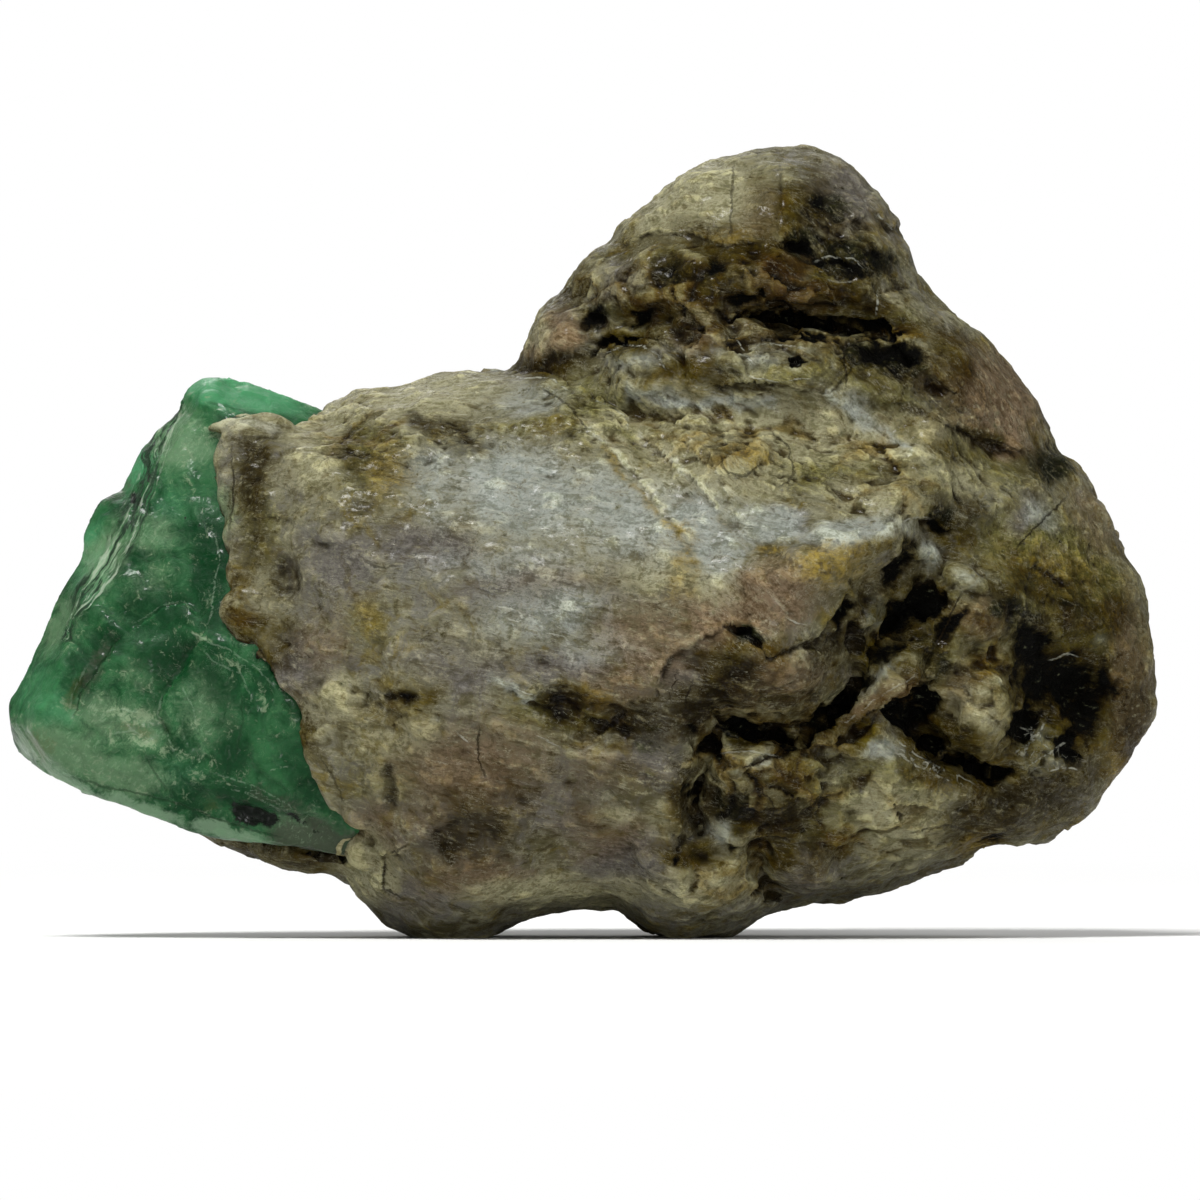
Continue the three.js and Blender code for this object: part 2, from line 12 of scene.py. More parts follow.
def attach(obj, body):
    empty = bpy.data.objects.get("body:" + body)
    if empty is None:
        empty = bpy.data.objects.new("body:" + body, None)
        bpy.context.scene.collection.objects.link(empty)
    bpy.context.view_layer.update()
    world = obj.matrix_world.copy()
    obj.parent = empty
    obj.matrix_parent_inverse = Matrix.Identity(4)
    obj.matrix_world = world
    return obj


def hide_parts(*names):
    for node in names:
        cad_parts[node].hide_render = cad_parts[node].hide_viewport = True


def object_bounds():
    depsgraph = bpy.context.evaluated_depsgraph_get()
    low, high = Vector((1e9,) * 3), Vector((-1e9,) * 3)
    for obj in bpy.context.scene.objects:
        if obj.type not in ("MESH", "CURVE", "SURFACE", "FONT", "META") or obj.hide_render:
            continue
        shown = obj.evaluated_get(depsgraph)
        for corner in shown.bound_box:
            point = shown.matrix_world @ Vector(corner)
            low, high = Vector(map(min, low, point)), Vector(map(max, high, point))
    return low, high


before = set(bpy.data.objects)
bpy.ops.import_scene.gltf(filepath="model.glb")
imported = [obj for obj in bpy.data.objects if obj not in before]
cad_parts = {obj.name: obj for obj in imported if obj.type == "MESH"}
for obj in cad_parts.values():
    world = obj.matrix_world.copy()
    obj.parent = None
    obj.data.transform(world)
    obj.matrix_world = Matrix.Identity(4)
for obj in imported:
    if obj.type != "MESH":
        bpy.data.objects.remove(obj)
cad_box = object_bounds()

# The looks of a raw emerald in matrix: a worn lump of mica-rich rock with a green beryl crystal in its left
# end. Places and sizes are millimetres of the specimen: x along it, y to its back, z up from its foot. Marks
# and relief are placed on its front at x and z, and a turn is how many degrees a mark's right end is raised.

SPECIMEN_LENGTH = 57.34
LOW, HIGH = cad_box
MM = (HIGH.x - LOW.x) / SPECIMEN_LENGTH  # one of those millimetres, in the frame's metres
ORIGIN = np.array([(LOW.x + HIGH.x) / 2, (LOW.y + HIGH.y) / 2, LOW.z])
FAR_OFF = 9.0  # farther from a mark than it can be seen
BEHIND = 3  # how far behind the front a line still marks the surface
END_FADE = 0.15  # the share of a line, at each of its ends, over which it fades
OVERLAP = 0.05  # how deep the rock's rim runs into the crystal
LENGTH_OF_EDGE = 13  # the crystal's worn edge
RIB_LENGTH = 5  # how many times as long as wide that edge's ribs are
ALONG_STRIPES = 0.09  # its stripes are drawn out: this is what places along it count for
WELD = 0.0001  # points closer than this are joined
TRIANGLES = 196000  # what each piece is thinned to

# The ways that fibres and grain run.
FOLIATION = (1, 0.2, -0.35)
FINE_STREAKS = (1, 0.1, -0.3)
CURL_WAY = (1, 0, -0.7)
CRYSTAL_GRAIN = (-0.45, 0.3, 1)

# ---------- seeded noise ----------

CORNERS = list(itertools.product((0, 1), repeat=3))
NEIGHBOURS = list(itertools.product((-1, 0, 1), repeat=3))
GRADIENTS = np.array([way for way in NEIGHBOURS if sum(map(abs, way)) == 2], float)
AXIS_FACTORS, SEED_FACTOR = (73856093, 19349663, 83492791), 668265263
MIXING = [(15, 2246822519), (13, 3266489917)]  # how far the bits shift, and by what they are multiplied
LOW_BITS, TEN_BITS, EIGHT_BITS = 0xFFFFFFFF, 1023, 255


def scrambled(cell, seed):
    """A repeatable whole number for each lattice cell."""
    x, y, z = (cell.astype(np.int64) * AXIS_FACTORS).T
    mixed = x ^ y ^ z ^ seed * SEED_FACTOR
    for shift, factor in MIXING:
        mixed &= LOW_BITS
        mixed = (mixed >> shift ^ mixed) * factor
    mixed &= LOW_BITS
    return mixed >> 16 ^ mixed


def noise(points, size, seed):
    """Smooth noise from about -1 to 1 whose features are of that size."""
    scaled = points / size
    cell = np.floor(scaled)
    inside = scaled - cell
    ease = inside**3 * (inside * (inside * 6 - 15) + 10)
    total = np.zeros(len(points))
    for corner in CORNERS:
        gradient = GRADIENTS[scrambled(cell + corner, seed) % len(GRADIENTS)]
        share = np.prod(np.where(corner, ease, 1 - ease), axis=1)
        total += share * np.einsum("ij,ij->i", gradient, inside - corner)
    return total


def fractal(points, size, seed, octaves=4, gain=0.5):
    """Noise with finer and finer detail on it."""
    heights = [gain**n * noise(points, size / 2**n, seed + n) for n in range(octaves)]
    return sum(heights)


def ridged(points, size, seed, octaves=4, gain=0.55):
    """Sharp ridges between rounded hollows, from about 0 to 1."""
    heights = [gain**n * (1 - 2 * np.abs(noise(points, size / 2**n, seed + n))) for n in range(octaves)]
    return sum(heights) / sum(gain**n for n in range(octaves))


def grains(points, size, seed):
    """Crystal grains: how far inside its grain a point is, the grain's own number from 0 to 1, and how high
    the grain's tilted face is there."""
    scaled = points / size
    cell = np.floor(scaled)
    nearest = np.full(len(points), FAR_OFF)
    second = nearest.copy()
    owner = np.zeros(len(points))
    tilt = np.zeros(len(points))
    for neighbour in NEIGHBOURS:
        here = cell + neighbour
        code = scrambled(here, seed)
        jitter = np.stack([code >> shift & TEN_BITS for shift in (0, 10, 20)], axis=1) / TEN_BITS
        offset = scaled - here - jitter
        far = np.linalg.norm(offset, axis=1)
        closer = far < nearest
        second = np.where(closer, nearest, np.minimum(second, far))
        owner = np.where(closer, (code >> 5 & EIGHT_BITS) / EIGHT_BITS, owner)
        lean = GRADIENTS[code % len(GRADIENTS)]
        tilt = np.where(closer, np.einsum("ij,ij->i", lean, offset), tilt)
        nearest = np.where(closer, far, nearest)
    return second - nearest, owner, tilt


def stretched(points, along, factor):
    """The points squeezed along a direction, so that noise on them runs in fibres that way."""
    way = np.array(along, float) / np.linalg.norm(along)
    return points - np.outer(points @ way, way) * (1 - 1 / factor)


def eased(value, start, end):
    """0 before start, 1 after end, with a smooth rise between them; it falls where end is below start."""
    share = np.clip((value - start) / (end - start), 0, 1)
    return share * share * (3 - 2 * share)


def soft_edge(far):
    """1 inside a mark, 0.5 on its outline, which is at 1, and 0 outside."""
    return np.clip(1.5 - far, 0, 1)


def faded(along):
    """How strong a line is along its way from 0 to 1: it fades at both of its ends."""
    return eased(along, 0, END_FADE) * eased(along, 1, 1 - END_FADE)


# ---------- a surface in the making ----------


class Surface:
    """A fine even mesh of one CAD node: its points and normals in millimetres, and what varies over it."""

    def __init__(self, node, voxel, wear, crusts=()):
        self.node = node
        self.mesh = self.evened(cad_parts[node], voxel, wear, crusts)
        self.masks = {}
        self.read()

    def evened(self, solid, voxel, wear, crusts):
        """The solid and the crusts on it as a mesh of small even faces, with edges worn a little round."""
        blank = bpy.data.objects.new(self.node + "_blank", solid.data.copy())
        bpy.context.scene.collection.objects.link(blank)
        merged = bmesh.new()
        merged.from_mesh(blank.data)
        bmesh.ops.remove_doubles(merged, verts=merged.verts, dist=WELD * MM)
        for crust in crusts:
            bmesh.ops.create_icosphere(merged, subdivisions=4, radius=MM, matrix=crust)
        merged.to_mesh(blank.data)
        merged.free()
        even = blank.modifiers.new("even", "REMESH")
        even.mode = "VOXEL"
        even.voxel_size = voxel * MM
        worn = blank.modifiers.new("worn", "SMOOTH")
        worn.factor = 0.5
        worn.iterations = wear
        graph = bpy.context.evaluated_depsgraph_get()
        self.tree = BVHTree.FromObject(blank, graph)
        mesh = bpy.data.meshes.new_from_object(blank.evaluated_get(graph))
        bpy.data.objects.remove(blank)
        return mesh

    def read(self):
        """Takes the points and normals from the mesh."""
        count = len(self.mesh.vertices)
        flat = np.empty(count * 3)
        self.mesh.vertices.foreach_get("co", flat)
        self.points = (flat.reshape(-1, 3) - ORIGIN) / MM
        self.mesh.vertices.foreach_get("normal", flat)
        self.normals = flat.reshape(-1, 3).copy()

    def push(self, height):
        """Moves each point along its normal by that many millimetres, and takes the new normals."""
        self.move(self.normals * height[:, None])

    def move(self, step):
        """Moves each point by its own step, and never below the surface that the specimen stands on."""
        moved = self.points + step
        moved[:, 2] = np.maximum(moved[:, 2], 0)
        self.mesh.vertices.foreach_set("co", (moved * MM + ORIGIN).ravel())
        self.mesh.update()
        self.read()

    def depth(self, x, z):
        """The y of the first surface at x and z, seen from the front."""
        start = Vector(np.array([x, -SPECIMEN_LENGTH, z]) * MM + ORIGIN)
        hit = self.tree.ray_cast(start, Vector((0, 1, 0)))[0]
        return 0.0 if hit is None else (hit.y - ORIGIN[1]) / MM

    def warp(self, size, height, seed):
        """Shifts where marks fall, so that their edges wander as natural ones do."""
        self.placed = self.points.copy()
        for axis in (0, 2):
            self.placed[:, axis] += height * fractal(self.points, size, seed + axis, octaves=3)

    def near(self, depth, reach):
        """1 close to that depth and 0 well away from it, which keeps a mark to the front."""
        return eased(np.abs(self.points[:, 1] - depth), 2 * reach + 2, reach + 1)

    def patch(self, x, z, half_length, half_width, turn):
        """An oval mark: 1 inside, 0.5 on its outline and 0 outside."""
        angle = math.radians(turn)
        dx, dz = self.placed[:, 0] - x, self.placed[:, 2] - z
        along = (dx * math.cos(angle) + dz * math.sin(angle)) / half_length
        across = (dz * math.cos(angle) - dx * math.sin(angle)) / half_width
        inside = soft_edge(np.hypot(along, across))
        return inside * self.near(self.depth(x, z), max(half_length, half_width))

    def strongest(self, patches):
        """The strongest of several oval marks at each point, and 0 outside them all."""
        amount = np.zeros(len(self.points))
        for *place, strength in patches:
            amount = np.maximum(amount, strength * self.patch(*place))
        return amount

    def swell(self, height, swellings):
        """Adds oval swellings to the heights of the points."""
        for *place, swelling in swellings:
            height += swelling * eased(self.patch(*place), 0.1, 1)

    def line(self, path):
        """Where each point is by a path of [x, z, half width], or of [x, z] for half widths of 1: how many
        half widths from it, on which hand, positive to the right of its way, and how far along, 0 to 1."""
        nowhere = 10 * FAR_OFF
        best = np.full(len(self.points), nowhere)
        hand = np.zeros(len(self.points))
        along = np.zeros(len(self.points))
        spots = [[*spot, 1][:3] for spot in path]
        for step, ((x, z, width), (next_x, next_z, next_width)) in enumerate(zip(spots, spots[1:])):
            run = np.array([next_x - x, next_z - z])
            dx, dz = self.placed[:, 0] - x, self.placed[:, 2] - z
            share = np.clip((dx * run[0] + dz * run[1]) / (run @ run), 0, 1)
            far = np.hypot(dx - share * run[0], dz - share * run[1])
            far = far / (width + share * (next_width - width))
            depth = self.depth(x + run[0] / 2, z + run[1] / 2)
            far = np.where(self.near(depth, BEHIND) > 0.5, far, nowhere)
            closer = far < best
            hand = np.where(closer, np.sign(dx * run[1] - dz * run[0]), hand)
            along = np.where(closer, (step + share) / (len(path) - 1), along)
            best = np.minimum(best, far)
        return best, hand, along

    def terrace(self, height, reach, path):
        """A step as high as that just to the right of a path of [x, z], which fades over that reach."""
        far, hand, along = self.line(path)
        return height * faded(along) * (hand > 0) * np.exp(-far / reach)

    def mark(self, name, amount):
        """Adds to one of the marks that the material reads."""
        self.masks[name] = np.maximum(self.masks.get(name, 0), amount)

    def measure(self, name, amount):
        """Sets a measure that the material reads, which may be below 0."""
        self.masks[name] = amount

    def draw(self, name, lines):
        """Draws lines finer than the mesh, each with its strength and its path of [x, z]: it measures how far
        each point is from the nearest line, to its left or right, and how strong the line is there."""
        offset = np.full(len(self.points), FAR_OFF)
        ink = np.zeros(len(self.points))
        for strength, path in lines:
            far, hand, along = self.line(path)
            closer = far < np.abs(offset)
            offset[closer] = (far * hand)[closer]
            ink[closer] = (strength * faded(along) * eased(far, 1.5, 0.7))[closer]
        self.measure(name + "_offset", offset)
        self.measure(name + "_ink", ink)

    def meet(self, other, reach):
        """Draws the points within reach of another surface on to it, so that no gap shows between them."""
        low, high = other.points.min(axis=0) - reach, other.points.max(axis=0) + reach
        inside = np.all((self.points > low) & (self.points < high), axis=1)
        faces = [face.vertices[:] for face in other.mesh.polygons]
        tree = BVHTree.FromPolygons(other.points.tolist(), faces)
        step = np.zeros_like(self.points)
        for index in np.flatnonzero(inside):
            spot, _, _, far = tree.find_nearest(Vector(self.points[index]), reach)
            if spot is not None and far > 0:
                way = np.array(spot) - self.points[index]
                step[index] = way * (1 + OVERLAP / far) * eased(far, reach, reach / 2)
        self.move(step)

    def hollowness(self, rounds):
        """How much each point lies in a hollow, positive, or on an edge, negative, after evening that out."""
        count = len(self.points)
        edges = np.empty(len(self.mesh.edges) * 2, np.int64)
        self.mesh.edges.foreach_get("vertices", edges)
        ends = edges.reshape(-1, 2)
        both = np.concatenate([ends, ends[:, ::-1]])
        neighbours = np.bincount(both[:, 0], minlength=count)

        def mean_of(values):
            return np.bincount(both[:, 0], values[both[:, 1]], minlength=count) / neighbours

        smooth = self.points
        for _ in range(rounds):
            smooth = np.stack([mean_of(smooth[:, axis]) for axis in range(3)], axis=1)
        return np.einsum("ij,ij->i", smooth - self.points, self.normals)

    def finished(self, name, material):
        """The surface as an object with its marks, thinned where it is flattest."""
        for mask, amount in self.masks.items():
            attribute = self.mesh.attributes.new(mask, "FLOAT", "POINT")
            attribute.data.foreach_set("value", amount.astype(np.float32))
        piece = bpy.data.objects.new(name, self.mesh)
        bpy.context.scene.collection.objects.link(piece)
        triangles = sum(len(face.vertices) - 2 for face in self.mesh.polygons)
        thin = piece.modifiers.new("thin", "DECIMATE")
        thin.ratio = min(1, TRIANGLES / triangles)
        graph = bpy.context.evaluated_depsgraph_get()
        piece.data = bpy.data.meshes.new_from_object(piece.evaluated_get(graph))
        piece.modifiers.clear()
        piece.data.shade_smooth()
        piece.data.materials.clear()
        piece.data.materials.append(material)
        return piece


# ---------- shader maths ----------

MIX_FIRST, MIX_SECOND, MIX_RESULT = 6, 7, 2  # the places of the Mix node's colour sockets


class Value:
    """A socket that numbers can be added to, multiplied by and so on: each operator adds its Math node."""

    def __init__(self, finish, socket):
        self.finish = finish
        self.socket = socket

    def combine(self, operation, first, second):
        """A new value from a Math node."""
        node = self.finish.add("Math", {"operation": operation}, {0: first, 1: second})
        return Value(self.finish, node.outputs[0])

    def __add__(self, other):
        return self.combine("ADD", self, other)

    def __sub__(self, other):
        return self.combine("SUBTRACT", self, other)

    def __rsub__(self, other):
        return self.combine("SUBTRACT", other, self)

    def __mul__(self, other):
        return self.combine("MULTIPLY", self, other)

    __radd__ = __add__
    __rmul__ = __mul__


class Finish:
    """The nodes of a new material or world in the making, with one method that adds any node."""

    def __init__(self, owner):
        self.owner = owner
        self.owner.use_nodes = True
        self.tree = self.owner.node_tree
        self.tree.nodes.clear()
        self.place = self.add("TexCoord", {}, {}).outputs["Object"]

    def add(self, kind, settings, sockets):
        """A node of that kind, with its settings, then the values or links of its sockets."""
        node = self.tree.nodes.new("ShaderNode" + kind)
        for name, setting in settings.items():
            setattr(node, name, setting)
        for key, given in sockets.items():
            given = getattr(given, "socket", given)
            if isinstance(given, bpy.types.NodeSocket):
                self.tree.links.new(given, node.inputs[key])
            else:
                node.inputs[key].default_value = given
        return node

    def mask(self, name):
        """One of the surface's own marks."""
        return Value(self, self.add("Attribute", {"attribute_name": name}, {}).outputs["Fac"])

    def stretch(self, turn, factor):
        """Places squeezed along a way in the x-z plane, so that noise on them runs in fibres."""
        sockets = {0: self.place, 2: (0, -math.radians(turn), 0), 3: (factor, 1, 1)}
        return self.add("Mapping", {"vector_type": "TEXTURE"}, sockets).outputs[0]

    def noises(self, size, detail=4, roughness=0.6, distortion=0, place=None, unit=MM):
        """Three noises apart from each other, from 0 to 1, with features of that many millimetres."""
        sockets = {
            "Vector": place or self.place, "Scale": 1 / (size * unit),
            "Detail": detail, "Roughness": roughness, "Distortion": distortion,
        }
        colour = self.add("TexNoise", {}, sockets).outputs["Color"]
        return [Value(self, part) for part in self.add("SeparateColor", {}, {0: colour}).outputs]

    def apart(self, value, level):
        """How far a value is from a level."""
        return Value(self, self.add("Math", {"operation": "ABSOLUTE"}, {0: value - level}).outputs[0])

    def rise(self, value, start, end):
        """0 before start, 1 after end, smooth between them."""
        sockets = {0: value, 1: start, 2: end}
        return Value(self, self.add("MapRange", {"interpolation_type": "SMOOTHSTEP"}, sockets).outputs[0])

    def drawn(self, name, width, wobble):
        """A line that a surface has drawn: 1 on it and 0 off it, as wide as that many millimetres."""
        off = self.apart(self.mask(name + "_offset") + wobble * width, 0)
        return self.rise(off, width * 0.6, width * 0.3) * self.mask(name + "_ink")

    def blend(self, amount, first, second, how="MIX"):
        """The first colour turned into the second by that amount."""
        settings = {"data_type": "RGBA", "blend_type": how, "clamp_factor": True}
        mixed = self.add("Mix", settings, {0: amount, MIX_FIRST: first, MIX_SECOND: second})
        return mixed.outputs[MIX_RESULT]

    def paint(self, amount, colour):
        """Lays a colour over the material's colour by that amount."""
        self.colour = self.blend(amount, self.colour, colour)

    def tint(self, amount, colour):
        """Multiplies the material's colour by another by that amount."""
        self.colour = self.blend(amount, self.colour, colour, "MULTIPLY")

    def bump(self, height, distance, strength):
        """A normal with fine relief of that many millimetres."""
        sockets = {"Height": height, "Distance": distance * MM, "Strength": strength}
        return self.add("Bump", {}, sockets).outputs[0]

    def done(self, shader, output="OutputMaterial"):
        """Takes the shader as the surface, and gives the material or world."""
        self.add(output, {}, {"Surface": shader})
        return self.owner


def tone(red, green, blue):
    """An opaque colour."""
    return (red, green, blue, 1.0)


# ---------- the rock's material ----------

# Each mineral or stain: its paler and darker colour, how far grain breaks up its edge, and how soft that is.
PIGMENTS = {
    "olive": (tone(0.175, 0.165, 0.055), tone(0.055, 0.05, 0.011), 1.2, 0.42),
    "lilac": (tone(0.155, 0.143, 0.13), tone(0.062, 0.055, 0.047), 1.0, 0.46),
    "rose": (tone(0.19, 0.138, 0.085), tone(0.075, 0.05, 0.024), 1.0, 0.46),
    "cream": (tone(0.36, 0.345, 0.215), tone(0.15, 0.14, 0.07), 1.2, 0.46),
    "quartz": (tone(0.37, 0.395, 0.36), tone(0.165, 0.18, 0.148), 1.2, 0.5),
    "ochre": (tone(0.24, 0.175, 0.032), tone(0.085, 0.057, 0.007), 1.6, 0.42),
    "umber": (tone(0.045, 0.033, 0.008), tone(0.009, 0.006, 0.001), 1.7, 0.40),
    "moss": (tone(0.02, 0.022, 0.006), tone(0.003, 0.004, 0.001), 1.8, 0.32),
    "crust": (tone(0.44, 0.44, 0.34), tone(0.2, 0.2, 0.12), 1.4, 0.3),
    "greenish": (tone(0.17, 0.225, 0.13), tone(0.05, 0.085, 0.04), 1.2, 0.46),
}

# The schist's other colours, and the tints that darken or lighten what is under them; the tints for hollows
# and ridges are painted shade and painted highlight.
DARK_SCHIST = tone(0.075, 0.066, 0.03)
PALE_SCHIST = tone(0.2, 0.192, 0.12)
GREY_SCHIST = tone(0.13, 0.124, 0.108)
BROWN_SCHIST = tone(0.13, 0.1, 0.02)
PALE_BLOCK = tone(0.29, 0.27, 0.15)
PALE_DASH = tone(0.34, 0.325, 0.21)
DIRT = tone(0.012, 0.008, 0.002)
BLACK_MICA = tone(0.0008, 0.0007, 0.0002)
MICA_GLITTER_FLAKE = tone(0.09, 0.095, 0.055)
PALE_THREAD = tone(0.5, 0.49, 0.38)
DARK_HAIRLINE = tone(0.018, 0.012, 0.004)
DARK_CRACK = tone(0.012, 0.008, 0.003)
PAINTED_GLINT = tone(0.55, 0.56, 0.46)
BLOCK_TINT = tone(0.25, 0.19, 0.06)
DASH_TINT = tone(0.3, 0.22, 0.09)
SOOT_TINT = tone(0.26, 0.2, 0.03)
RUST_TINT = tone(0.6, 0.43, 0.13)
HOLLOW_SHADE_TINT = tone(0.12, 0.09, 0.03)
RIDGE_HIGHLIGHT_TINT = tone(1.9, 1.9, 1.75)
MICA_TINT = tone(0.2, 0.155, 0.025)


def rock_noises(rock):
    """The noises that the rock's colours and relief share, each as three that are apart from each other."""
    broad = rock.noises(3.4, detail=3, distortion=0.5)
    middle = rock.noises(1.05, detail=5, roughness=0.66, distortion=0.8)
    grain = rock.noises(0.24, detail=4, roughness=0.72)
    level, steep = [
        rock.noises(0.32, detail=5, roughness=0.7, distortion=0.4, place=rock.stretch(turn, 5))
        for turn in (-12, -44)
    ]
    slant = rock.rise(rock.mask("slant") + (broad[2] - 0.5), 0.3, 0.7)
    fibre = [flat * (1 - slant) + tilted * slant for flat, tilted in zip(level, steep)]
    mottle = [wide * 0.45 + fine * 0.55 for wide, fine in zip(broad, middle)]
    texture = middle[0] * 0.3 + grain[0] * 0.35 + fibre[0] * 0.35
    return SimpleNamespace(middle=middle, grain=grain, fibre=fibre, mottle=mottle, texture=texture)


def rock_ground(rock, clouds):
    """Clouded schist, and over it the pigments that its marks place."""
    rock.colour = rock.blend(rock.rise(clouds.mottle[0], 0.43, 0.57), DARK_SCHIST, PALE_SCHIST)
    rock.paint(rock.rise(clouds.mottle[1], 0.46, 0.6) * 0.75, GREY_SCHIST)
    rock.paint(rock.rise(clouds.mottle[2], 0.5, 0.61) * 0.75, BROWN_SCHIST)
    for name, (light, dark, broken, soft) in PIGMENTS.items():
        pigment = rock.blend(rock.rise(clouds.texture, 0.43, 0.57), dark, light)
        amount = rock.mask(name) + (clouds.mottle[1] - 0.5) * broken + (clouds.texture - 0.5) * broken
        rock.paint(rock.rise(amount, 0.5 - soft, 0.5 + soft), pigment)


def rock_blocks(rock, clouds):
    """Paler and darker blocks, and short pale and brown dashes that leave the quartz plainer."""
    block = rock.mask("block") + (clouds.grain[1] - 0.5) * 0.3
    rock.paint(rock.rise(block, 0.56, 0.85) * 0.35, PALE_BLOCK)
    rock.tint(rock.rise(block, 0.46, 0.2) * 0.6, BLOCK_TINT)
    plain = 1 - rock.mask("quartz") * 0.6
    pale = rock.rise(clouds.fibre[1] * 0.6 + clouds.grain[1] * 0.4, 0.52, 0.64)
    rock.paint(pale * plain * 0.4, PALE_DASH)
    brown = rock.rise(clouds.middle[1] * 0.45 + clouds.fibre[2] * 0.55, 0.48, 0.38)
    rock.tint(brown * plain * 0.55, DASH_TINT)
    sooty = rock.mask("sooty") + (clouds.mottle[2] - 0.5) * 1.6 + (clouds.texture - 0.5) * 2.2
    sooty = sooty - (block - 0.5) * 0.6
    rock.tint(rock.rise(sooty, 0, 1), SOOT_TINT)


def rock_wear_and_painted_light(rock, clouds):
    """Rust and dark dirt in the joints and broad hollows, painted shade in the small hollows, and painted
    highlight on the ridges.
    """
    joint = rock.mask("joint") + rock.mask("stain") * 0.5 + (clouds.middle[2] - 0.5) * 1.2
    rock.tint(rock.rise(joint, 0.1, 0.8) * 0.8, RUST_TINT)
    rock.paint(rock.rise(joint, 0.55, 1.2) * 0.85, DIRT)
    # Painted shade: the surface's hollows are darkened.
    hollow = rock.rise(rock.mask("hollow") + (clouds.grain[2] - 0.5) * 0.4, 0.05, 0.95)
    rock.tint(hollow * 0.85, HOLLOW_SHADE_TINT)
    # Painted highlight: the surface's ridges are lightened.
    ridge_highlight = rock.rise(rock.mask("ridge_highlight") + (clouds.grain[0] - 0.5) * 0.8, 0.15, 0.9)
    rock.tint(ridge_highlight * 0.6, RIDGE_HIGHLIGHT_TINT)


def rock_mica(rock, clouds, mica):
    """Black mica with small grey flakes whose paleness is painted glitter, and a brown stain round it."""
    rock.tint(rock.rise(mica, -0.1, 0.6) * 0.8, MICA_TINT)
    # Partly painted highlight: grey flakes in the black mica, their paleness laid in as glitter.
    glitter = rock.rise(clouds.grain[1] * 0.5 + clouds.fibre[1] * 0.5, 0.57, 0.68)
    flakes = rock.blend(glitter, BLACK_MICA, MICA_GLITTER_FLAKE)
    rock.paint(rock.rise(mica, 0.4, 0.85), flakes)


def rock_finish():
    """Mica schist with quartz and feldspar: clouded pigments, black mica, rusty joints, painted shade in
    hollows, painted highlights on ridges and in glint lines, and a wet glitter.
    """
    rock = Finish(bpy.data.materials.new("mica_rock_finish"))
    clouds = rock_noises(rock)
    grain, fibre, middle = clouds.grain, clouds.fibre, clouds.middle
    rock_ground(rock, clouds)
    rock_blocks(rock, clouds)
    rock_wear_and_painted_light(rock, clouds)
    thread = rock.rise(rock.apart(fibre[2], 0.5), 0.016, 0) * rock.rise(middle[0], 0.46, 0.6)
    rock.paint(thread * 0.35, PALE_THREAD)
    hairline = rock.rise(rock.apart(middle[2], 0.5), 0.009, 0) * rock.rise(clouds.mottle[0], 0.52, 0.6)
    rock.paint(hairline * 0.5, DARK_HAIRLINE)
    mica = rock.mask("mica") + (clouds.mottle[0] - 0.5) * 1.3 + (clouds.texture - 0.5) * 3
    rock_mica(rock, clouds, mica)
    crack = rock.drawn("crack", 0.11, (grain[0] - 0.5) * 3) * rock.rise(middle[0], 0.34, 0.46)
    rock.paint(crack, DARK_CRACK)
    # Painted highlight: pale glint lines drawn along edges.
    glint = rock.drawn("glint", 0.1, (grain[1] - 0.5) * 1.6) * rock.rise(fibre[1], 0.43, 0.54)
    rock.paint(glint * 0.55, PAINTED_GLINT)

    relief = grain[0] * 0.4 + fibre[0] * 0.7 + middle[0] * 0.5 - hairline * 0.15 - crack * 0.4 + glint * 0.3
    wet = rock.rise(grain[2] * 0.5 + fibre[1] * 0.5, 0.5, 0.6) * rock.rise(mica, 0.6, 0.3)
    stone = rock.add("BsdfPrincipled", {}, {
        "Base Color": rock.colour, "Roughness": rock.rise(grain[2], 0.35, 0.65) * 0.25 + 0.35,
        "Normal": rock.bump(relief, 0.42, 0.9), "Specular IOR Level": 0.04,
        "Coat Weight": wet * 0.25, "Coat Roughness": 0.18,
    })
    return rock.done(stone.outputs[0])


# ---------- the crystal's material ----------

# The crystal's zones: colour, strength, how far clouds break up its edge, and how soft that edge is.
ZONES = {
    # bright is painted light: a lighter green on the crystal's top and on its left flank, for how the light
    # falls there.
    "bright": (tone(0.055, 0.215, 0.095), 0.85, 0.5, 0.42),
    "haze": (tone(0.115, 0.2, 0.105), 0.66, 1.1, 0.48),
    "deep": (tone(0.001, 0.026, 0.006), 0.92, 0.7, 0.48),
    "rust": (tone(0.07, 0.062, 0.015), 0.6, 1.2, 0.4),
    "pale": (tone(0.26, 0.33, 0.2), 0.45, 2.2, 0.25),
    "bevel": (tone(0.17, 0.265, 0.165), 0.7, 1.2, 0.36),
    "grey": (tone(0.04, 0.05, 0.03), 0.85, 1.0, 0.4),
    "inclusion": (tone(0.001, 0.003, 0.001), 1.0, 1.2, 0.2),
}

# The beryl's other colours.
DEEP_GREEN = tone(0.002, 0.032, 0.008)
CLEAR_GREEN = tone(0.018, 0.088, 0.029)
VEIL = tone(0.07, 0.165, 0.065)
SPARKLE_FLECK = tone(0.25, 0.36, 0.22)
GREEN_THREAD = tone(0.3, 0.42, 0.28)
DARK_STRIPE = tone(0.014, 0.03, 0.016)
PALE_STRIPE = tone(0.34, 0.39, 0.3)
DARK_CLEFT = tone(0.006, 0.025, 0.008)
PALE_VEIN_AND_HIGHLIGHT = tone(0.32, 0.42, 0.3)


